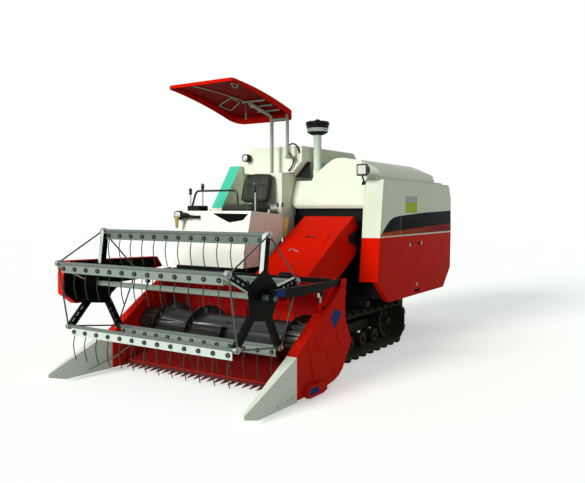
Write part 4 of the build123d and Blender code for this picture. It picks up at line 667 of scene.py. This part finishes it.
def crowned(low, high, face):  # a soft block: corners drawn in, sides pulled in, the top crowned like a seat
    look = seat
    alone()
    low, high = Vector(low), Vector(high)
    middle, half = (low + high) / 2, (high - low) / 2
    bpy.ops.mesh.primitive_cube_add(size=2, location=(0, 0, 0))
    pad = bpy.context.object
    edit(pad)
    bpy.ops.mesh.subdivide(number_cuts=look["cuts"])
    alone(pad)

    def ridge(value, shape):  # a soft ridge at a share of the pad
        at, width, high = shape
        return face * high * math.exp(-((value - at) / width) ** 2)

    for vertex in pad.data.vertices:
        x, y, z = vertex.co
        plan = (abs(x) ** look["cornerPower"] + abs(y) ** look["cornerPower"]) ** (1 / look["cornerPower"])
        reach = 1 / plan if plan > 1 else 1.0
        rim = max(abs(x), abs(y))
        side = 1 - look["roundness"] * (z * z)
        raised = 1 - rim ** look["domePower"] + ridge(abs(x), look["bolster"])
        sunk = ridge(y, look["channel"]) * (abs(x) < look["channelHalf"]) + ridge(abs(x), look["seamLine"])
        lift = look["crown"] / half.z * (raised - sunk) if z > 0.9 else 0
        vertex.co = Vector((
            middle.x + x * reach * side * half.x,
            middle.y + y * reach * side * half.y,
            middle.z + (z * (1 - look["rimDrop"] * rim ** look["rimPower"]) + lift) * half.z,
        ))
    alone(pad)
    bpy.ops.object.modifier_add(type="SUBSURF")
    softness = pad.modifiers[-1]
    softness.levels = softness.render_levels = 1
    bpy.ops.object.modifier_apply(modifier=softness.name)
    return pad


def makeSeat():
    look = seat
    low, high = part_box("seat_cushion")
    cushion = crowned(low, Vector(high) - Vector((0, 0, look["topGap"])), look["cushionFace"])
    cushion.name = "seatCushion"
    finishPiece(cushion, "seatVinyl", bodyOfNode["seat_cushion"], 60)
    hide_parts("seat_cushion")
    # the back leans, so it is made lying down and turned up about its foot
    low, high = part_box("seat_back")
    low, high = Vector(low), Vector(high)
    lean = math.atan2(look["leanDepth"], high.z - low.z)
    tall = (high.z - low.z) / math.cos(lean) - look["backShort"]
    wide, thick = high.x - low.x, look["backThick"]
    footY, footZ = look["foot"]
    foot = Vector(((low.x + high.x) / 2, low.y + thick + footY, low.z + footZ))
    back = crowned((-wide / 2, 0, 0), (wide / 2, tall, thick), look["backFace"])
    back.name = "seatBack"
    back.location = foot
    back.rotation_euler = (math.radians(90) - lean, 0, 0)
    finishPiece(back, "seatVinyl", bodyOfNode["seat_back"], 60)
    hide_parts("seat_back")
    onBack = Matrix.Translation(foot) @ Matrix.Rotation(math.radians(90) - lean, 4, "X")
    wires = {  # the welt round the back's rim, and the seams of its middle panel
        "seatWelt": ("rim", thick * look["weltAt"], "welt", "blackPlastic"),
        "seatSeamFrame": ("frame", thick + look["seamLift"], "seam", "blackGloss"),
        "seatSeamCross": ("cross", thick + look["seamLift"], "seam", "blackGloss"),
    }
    for name, (line, depth, radius, finish) in wires.items():
        points = [onBack @ Vector((x * wide / 2, y * tall, depth)) for x, y in look[line]]
        wireAt(name, points, look[radius], finish, bodyOfNode["seat_back"])


makeSeat()

cowl = {  # its slanted front between two heights, and the black film on it as (x, z) points
    "low": (-0.9405, 0.965), "top": (-0.7955, 1.530), "filmThick": 0.0014,
    "film": [(-0.557, 1.506), (-0.079, 1.500), (-0.137, 1.437), (-0.315, 1.410), (-0.439, 1.462)],
    "strip": [(-0.222, 1.240), (-0.160, 1.240), (-0.124, 1.452), (-0.212, 1.458)],
    "stripX": -0.0498, "stripThick": 0.006, "stripEdge": 0.002,
}


def makeCowlPlates():  # the black film, made upright and laid on the slant, and the yellow strip on the cowl's left
    look = cowl
    film = plateAt("y", 0.0, look["film"], look["filmThick"])
    film.name = "cowlDecal"
    settle(film)
    (lowY, lowZ), (topY, topZ) = look["low"], look["top"]
    for vertex in film.data.vertices:
        vertex.co.y += lowY + (vertex.co.z - lowZ) / (topZ - lowZ) * (topY - lowY)
    finishPiece(film, "blackFilm", "chassis")
    strip, thick, edge = look["strip"], look["stripThick"], look["stripEdge"]
    sheetPlate("yellowStrip", "x", look["stripX"], strip, thick, "yellowEnamel", "chassis", edge)


makeCowlPlates()

levers = {  # what stands on the CAD levers' stems, which are black from a height up, and beside them
    "gripsFrom": 1.695,
    # tapered grips over the tops of the stems: x, y, top, length, radius
    "knobs": {
        "knobFarRight": (-0.962, -0.665, 1.774, 0.050, 0.0155), "knobRight": (-0.846, -0.600, 1.826, 0.080, 0.024),
        "knobLeft": (-0.165, -0.570, 1.845, 0.135, 0.023),
    },
    "footShare": 0.62,  # how wide a knob is at its foot
    # upright rods and small knobs: x, y, bottom, top, radius, sides, share of the radius at the top, finish
    "rods": {
        "driveKnob": (-0.165, -0.570, 1.752, 1.834, 0.017, 18, 0.7, "blackGloss"),
        "limeKnob": (-0.301, -0.300, 1.508, 1.552, 0.016, 16, 0.7, "greenFilm"),
        "paleKnob": (-0.181, -0.300, 1.508, 1.545, 0.013, 16, 0.7, "zincPale"),
        "shortLeverA": (-0.216, -0.080, 1.512, 1.590, 0.006, 12, 1.0, "brightSteel"),
        "shortLeverB": (-0.152, -0.080, 1.500, 1.590, 0.006, 12, 1.0, "brightSteel"),
        "shortKnobA": (-0.216, -0.080, 1.570, 1.620, 0.013, 16, 0.8, "blackGloss"),
        "shortKnobB": (-0.152, -0.080, 1.570, 1.620, 0.013, 16, 0.8, "blackGloss"),
    },
    "console": ((-0.965, -0.72, 1.508), (-0.800, -0.56, 1.585)), "consoleEdge": 0.012,
}


def makeLevers():
    look = levers
    paintFaces(dressed["control_levers"], "blackGloss", lambda c, n: c.z > look["gripsFrom"])
    for name, (x, y, top, long, radius) in look["knobs"].items():
        alone()
        bpy.ops.mesh.primitive_uv_sphere_add(segments=20, ring_count=14, radius=1, location=(0, 0, 0))
        knob = bpy.context.object
        knob.name = name
        taper = knob.modifiers.new("taper", "SIMPLE_DEFORM")
        taper.deform_method = "TAPER"
        taper.deform_axis = "Z"
        taper.factor = 2 * (1 - look["footShare"]) / (1 + look["footShare"])
        bpy.ops.object.modifier_apply(modifier=taper.name)
        wide = radius * (1 + look["footShare"]) / 2
        knob.location = (x, y, top - long / 2)
        knob.scale = (wide, wide, long / 2)
        finishPiece(knob, "blackGloss", "chassis", 60)
    for name, (x, y, bottom, top, radius, sides, tip, finish) in look["rods"].items():
        barAt(name, (x, y, bottom), (x, y, top), radius, finish, "chassis", sides, tip)
    blockAt("sideConsole", *look["console"], "blackPlastic", "chassis", look["consoleEdge"])


makeLevers()

lamps = {  # pale glass in black rims
    # round ones: middle of the face, glass radius, rim radius
    "round": {
        "headLamp": ((-0.932, -0.908, 1.481), 0.041, 0.050),
        "tankLamp": ((-0.770, 0.060, 2.140), 0.034, 0.045),
    },
    "glassFront": 0.22, "glassBack": 0.05,  # depth of the glass before and behind its middle, as a share of its radius
    # the square work lamp on the tank's corner: corners, finish and edge of its frame and of the glass set in it
    "square": {
        "workLampRim": ((0.660, 0.088, 1.894), (0.788, 0.112, 2.020), "blackGloss", 0.011),
        "workLampGlass": ((0.676, 0.083, 1.910), (0.772, 0.100, 2.004), "lampGlass", 0.009),
    },
    # the amber strip below the head lamp, and what holds the two
    "amber": [(-0.950, 1.478), (-0.898, 1.470), (-0.914, 1.345), (-0.939, 1.354)],
    "amberY": -0.915, "amberThick": 0.018, "amberEdge": 0.004,
    "boss": ((-0.905, -0.880, 1.480), (-0.800, -0.880, 1.477)), "bossRadius": 0.032,
    "arm": [(-0.925, -0.917, 1.44), (-0.925, -0.905, 1.47), (-0.905, -0.885, 1.478)], "armRadius": 0.007,
}


def makeLampFace(name, middle, glass, rim):
    alone()
    bpy.ops.mesh.primitive_torus_add(
        major_radius=(glass + rim) / 2, minor_radius=(rim - glass) / 2, major_segments=32, minor_segments=8,
        location=middle, rotation=(math.pi / 2, 0, 0))
    ring = bpy.context.object
    ring.name = name + "Rim"
    finishPiece(ring, "blackGloss", "chassis", 60)
    alone()
    bpy.ops.mesh.primitive_uv_sphere_add(segments=28, ring_count=14, radius=glass, location=(0, 0, 0))
    lens = bpy.context.object
    lens.name = name + "Glass"
    for inFront, depth in ((True, lamps["glassFront"]), (False, lamps["glassBack"])):
        editFaces(lens, lambda c, n: (c.y < 0) == inFront)
        bpy.ops.transform.resize(value=(1, depth, 1), center_override=(0, 0, 0))
    alone(lens)
    lens.location = middle
    finishPiece(lens, "lampGlass", "chassis", 60)


def makeLamps():
    look = lamps
    for name, (middle, glass, rim) in look["round"].items():
        makeLampFace(name, middle, glass, rim)
    for name, (low, high, finish, edge) in look["square"].items():
        blockAt(name, low, high, finish, "chassis", edge)
    amber, thick, edge = look["amber"], look["amberThick"], look["amberEdge"]
    sheetPlate("indicatorBack", "y", look["amberY"], amber, thick, "amberGlass", "chassis", edge)
    barAt("headLampBoss", *look["boss"], look["bossRadius"], "blackPlastic", "chassis", 20, 0.8)
    wireAt("indicatorArm", look["arm"], look["armRadius"], "blackPlastic", "chassis")


makeLamps()
deckBeam = {"between": ((-0.955, -0.905, 0.918), (-0.190, -0.845, 0.962)), "edge": 0.004}  # below the cowl
blockAt("deckBeam", *deckBeam["between"], "frameBlack", "chassis", deckBeam["edge"])
print("stage 5: the driver's station is fitted out")

# Stage 6: roof, intake, feeder and header
roofRods = {  # rods pressed into the roof's underside, closed or not; a tight bend has two points at its corner
    "roofStay": (False, [
        (-0.614, -1.018, 2.781), (-0.540, -0.80, 2.760), (-0.470, -0.57, 2.725), (-0.410, -0.37, 2.687),
    ]),
    "roofLoop": (True, [
        (-0.492, -0.547, 2.721), (-0.50, -0.545, 2.720), (-0.800, -0.368, 2.688), (-0.806, -0.356, 2.685),
        (-0.766, -0.218, 2.653), (-0.758, -0.210, 2.651), (-0.503, -0.388, 2.690), (-0.495, -0.398, 2.692),
    ]),
    "roofHook": (True, [
        (-0.174, -0.952, 2.776), (-0.172, -0.948, 2.776), (-0.147, -0.878, 2.769), (-0.150, -0.870, 2.768),
        (-0.226, -0.800, 2.759), (-0.230, -0.802, 2.759), (-0.236, -0.846, 2.764), (-0.234, -0.850, 2.765),
    ]),
}
hanging = {  # the rod that hangs from the roof, with a thicker tip
    "place": (-0.405, -0.40), "top": 2.690, "rodEnd": 2.530, "tipTop": 2.560, "tipEnd": 2.508,
    "rodRadius": 0.0055, "tipRadius": 0.012,
}


def makeRoofParts():
    paintFaces(dressed["canopy_roof"], "roofUnder", lambda c, n: n.z < -0.5)
    look, (x, y) = hanging, hanging["place"]
    for name, (closed, points) in roofRods.items():
        wireAt(name, points, look["rodRadius"], "tubeGrey", "chassis", closed)
    barAt("hangingRod", (x, y, look["top"]), (x, y, look["rodEnd"]), look["rodRadius"], "railBlack", "chassis")
    barAt("hangingTip", (x, y, look["tipTop"]), (x, y, look["tipEnd"]), look["tipRadius"], "blackGloss", "chassis")


makeRoofParts()
paintFaces(dressed["radiator_housing"], "tealEnamel", lambda c, n: n.y < -0.5 and n.z > 0.2)

intake = {  # heights on the pre-cleaner, and the breather hose beside its pipe
    "bowlLow": 2.412, "bandTop": 2.452, "pipeTop": 2.378, "collarLow": 1.995, "footTop": 1.975, "hoseRadius": 0.0085,
    "hose": [
        (-0.205, 0.118, 1.975), (-0.150, 0.112, 2.02), (-0.128, 0.112, 2.10), (-0.190, 0.112, 2.16),
        (-0.215, 0.112, 2.25), (-0.140, 0.112, 2.285), (-0.075, 0.118, 2.24), (-0.072, 0.135, 2.17),
    ],
}


def makeIntake():
    piece, look = dressed["precleaner"], intake
    cutAlong(piece, [(0.0, look["bandTop"]), (1.0, look["bandTop"])])
    smooth(piece)
    paintFaces(piece, "smokyBowl", lambda c, n: look["bowlLow"] < c.z < look["bandTop"] and abs(n.z) < 0.5)
    paintFaces(piece, "mintEnamel", lambda c, n: look["collarLow"] < c.z < look["pipeTop"] and abs(n.z) < 0.5)
    paintFaces(piece, "whiteEnamel", lambda c, n: c.z < look["footTop"])
    wireAt("breatherHose", look["hose"], look["hoseRadius"], "blackPlastic", "chassis")


makeIntake()

feeder = {  # the long slope of its top from (y, z) to (y, z), and what lies on it as shares of the slope
    "foot": (-0.588, 1.055), "head": (-0.223, 1.287),
    "hatchX": 0.335, "hatchWide": 0.40, "hatchFrom": 0.62, "hatchTo": 0.99, "hatchThick": 0.010, "hatchEdge": 0.004,
    "sunk": 0.0005, "gripAt": 0.55, "gripHalf": 0.055, "gripLow": 0.006, "gripHigh": 0.030, "gripRadius": 0.0055,
    # points of the latch below the hatch: x, share of the slope, height over it
    "latch": [(0.20, 0.30, 0.001), (0.20, 0.34, 0.018), (0.25, 0.30, 0.018), (0.31, 0.26, 0.001)],
    "latchRadius": 0.006,
    "cap": ((0.395, -0.945, 0.905), (0.505, -0.945, 0.905)), "capRadius": 0.054,
}


def onFeeder(x, share, lift):  # a point over the feeder's long slope, with the slope's angle
    (y0, z0), (y1, z1) = feeder["foot"], feeder["head"]
    slope = math.atan2(z1 - z0, y1 - y0)
    y, z = y0 + (y1 - y0) * share, z0 + (z1 - z0) * share
    return Vector((x, y - math.sin(slope) * lift, z + math.cos(slope) * lift)), slope


def makeFeederParts():  # the raised hatch on the slope with its grip, the latch below it and the round cap in front
    look = feeder
    long = math.dist(look["foot"], look["head"]) * (look["hatchTo"] - look["hatchFrom"])
    middle, half = look["hatchX"], look["gripHalf"]
    alone()
    bpy.ops.mesh.primitive_cube_add(size=1, location=(0, 0, 0), scale=(look["hatchWide"], long, look["hatchThick"]))
    hatch = bpy.context.object
    hatch.name = "feederHatch"
    settle(hatch)
    roundEdges(hatch, look["hatchEdge"], 2, 40)
    share = (look["hatchFrom"] + look["hatchTo"]) / 2
    hatch.location, slope = onFeeder(middle, share, look["hatchThick"] / 2 - look["sunk"])
    hatch.rotation_euler = (slope, 0, 0)
    finishPiece(hatch, "redEnamel", "header")
    share = look["hatchFrom"] + (look["hatchTo"] - look["hatchFrom"]) * look["gripAt"]
    ends = [(-half, look["gripLow"]), (-half, look["gripHigh"]), (half, look["gripHigh"]), (half, look["gripLow"])]
    grip = [onFeeder(middle + aside, share, lift)[0] for aside, lift in ends]
    wireAt("feederGrip", grip, look["gripRadius"], "railBlack", "header")
    latch = [onFeeder(*place)[0] for place in look["latch"]]
    wireAt("feederLatch", latch, look["latchRadius"], "brightSteel", "header")
    barAt("feederCap", *look["cap"], look["capRadius"], "blackPlastic", "header", 28)


makeFeederParts()

dividers = {  # rivets on the left divider's face as (y, z), and the guide rod over each divider
    "faceX": 1.0945, "rivets": [(-1.905, 0.245), (-1.885, 0.080), (-1.835, 0.082), (-2.02, 0.062)],
    "rivetRadius": 0.0055, "rivetHeight": 0.004, "rodX": 0.975, "rodRadius": 0.007,
    "rod": [(-1.55, 0.214), (-1.696, 0.144), (-1.869, 0.110), (-2.068, 0.072)],
}


def makeDividerParts():
    look = dividers
    rivet = boltHead(look["rivetRadius"], look["rivetHeight"], "x")
    copiesAt(rivet, "dividerRivets", [(look["faceX"], y, z) for y, z in look["rivets"]], "header")
    remove(rivet)
    for name, x in (("guideRight", -look["rodX"]), ("guideLeft", look["rodX"])):
        wireAt(name, [(x, y, z) for y, z in look["rod"]], look["rodRadius"], "tubeGrey", "header")


makeDividerParts()

darkSheets = {  # painted shade: dark sheets where only shade shows, a wedge in the gap between tank and hood, and sheets that close the sight through the undercarriage
    "shadeWedge": ("y", 0.262, [(-0.203, 1.905), (-0.006, 1.905), (-0.006, 2.080), (-0.040, 2.080)], "blackPlastic"),
    "underShadeSheetLeft": ("x", 0.330, rectangle((-0.30, 0.230), (2.10, 0.600)), "frameBlack"),
    "underShadeSheetRight": ("x", -0.334, rectangle((-0.30, 0.230), (2.10, 0.600)), "frameBlack"),
}
darkSheetThick = 0.004
for sheetName, (across, at, outline, finishName) in darkSheets.items():
    sheetPlate(sheetName, across, at, outline, darkSheetThick, finishName, "chassis")

door = {  # the radiator door's latch with its pin, and the bent grip
    "latch": ((-1.042, -0.240, 1.225), (-1.030, -0.205, 1.300)), "latchEdge": 0.004,
    "pin": ((-1.046, -0.222, 1.262), (-1.040, -0.222, 1.262)), "pinRadius": 0.009, "gripRadius": 0.005,
    "grip": [(-1.031, -0.225, 0.995), (-1.058, -0.225, 1.005), (-1.058, -0.225, 1.095), (-1.031, -0.225, 1.105)],
}
blockAt("doorLatch", *door["latch"], "blackPlastic", "radiator_door", door["latchEdge"])
barAt("doorLatchPin", *door["pin"], door["pinRadius"], "brightSteel", "radiator_door", 16)
wireAt("doorGrip", door["grip"], door["gripRadius"], "railBlack", "radiator_door")
print("stage 6: roof, intake, feeder, header and door are fitted out")

# Stage 7: floor, light and camera
studio = {
    "floorSize": 60.0, "floor": "fbfdfc", "glow": 0.45, "sky": "f2faf4", "skyStrength": 0.30,
    "sunFrom": (-0.20, -0.93, 0.30), "sunStrength": 3.05, "sunAngle": 20.0, "sunColour": "fffffb",
}


def makeFloor():  # pale and matt, and it glows a little to the camera, so that it meets the white around it
    alone()
    bpy.ops.mesh.primitive_plane_add(size=studio["floorSize"])
    floor = bpy.context.object
    floor.name = "studioFloor"
    material = bpy.data.materials.new("paleFloor")
    material.use_nodes = True
    tree = material.node_tree
    shader = tree.nodes["Principled BSDF"]
    shader.inputs["Base Color"].default_value = paint(studio["floor"])
    shader.inputs["Roughness"].default_value = 0.95
    shader.inputs["Specular IOR Level"].default_value = 0.0
    shader.inputs["Emission Color"].default_value = (1, 1, 1, 1)
    rays = addNode(tree, "ShaderNodeLightPath", {})
    glow = {"operation": "MULTIPLY", 1: studio["glow"]}
    seen = addNode(tree, "ShaderNodeMath", glow, {0: rays.outputs["Is Camera Ray"]})
    tree.links.new(seen.outputs[0], shader.inputs["Emission Strength"])
    floor.data.materials.append(material)


def makeWorld():  # a soft sky that lights the machine, and plain white where it is seen, mirrored or looked through
    world = bpy.data.worlds.new("studioWorld")
    bpy.context.scene.world = world
    world.use_nodes = True
    tree = world.node_tree
    tree.nodes.clear()
    lit = addNode(tree, "ShaderNodeBackground", {"Color": paint(studio["sky"]), "Strength": studio["skyStrength"]})
    seen = addNode(tree, "ShaderNodeBackground", {"Color": (1, 1, 1, 1), "Strength": 1.0})
    rays = addNode(tree, "ShaderNodeLightPath", {})
    direct = {0: rays.outputs["Is Camera Ray"], 1: rays.outputs["Is Glossy Ray"]}
    glossy = addNode(tree, "ShaderNodeMath", {"operation": "MAXIMUM"}, direct)
    passing = {0: glossy.outputs[0], 1: rays.outputs["Is Transmission Ray"]}
    clear = addNode(tree, "ShaderNodeMath", {"operation": "MAXIMUM"}, passing)
    mix = addNode(tree, "ShaderNodeMixShader", {}, {0: clear.outputs[0], 1: lit.outputs[0], 2: seen.outputs[0]})
    addNode(tree, "ShaderNodeOutputWorld", {}, {"Surface": mix.outputs[0]})


def makeSun():
    bpy.ops.object.light_add(type="SUN", location=(0, 0, 6))
    sun = bpy.context.object
    sun.data.energy = studio["sunStrength"]
    sun.data.angle = math.radians(studio["sunAngle"])
    sun.data.color = paint(studio["sunColour"])[:3]
    sun.rotation_euler = Vector(studio["sunFrom"]).to_track_quat("Z", "Y").to_euler()


view = {  # the photograph's camera, found from the reel's and the covers' corners
    "place": (3.804, -6.027, 1.545), "turn": 32.763, "tilt": 2.821, "focalPixels": 651.789, "frameWidth": 585,
    "sensorWidth": 36.0,
}


def makeCamera():
    turn = (math.radians(90 - view["tilt"]), 0.0, math.radians(view["turn"]))
    bpy.ops.object.camera_add(location=view["place"], rotation=turn)
    camera = bpy.context.object
    camera.data.sensor_width = view["sensorWidth"]
    camera.data.lens = view["focalPixels"] * view["sensorWidth"] / view["frameWidth"]
    bpy.context.scene.camera = camera


makeFloor()
makeWorld()
makeSun()
makeCamera()
bpy.context.scene.view_settings.view_transform = "Standard"
print("stage 7: floor, light and camera stand")
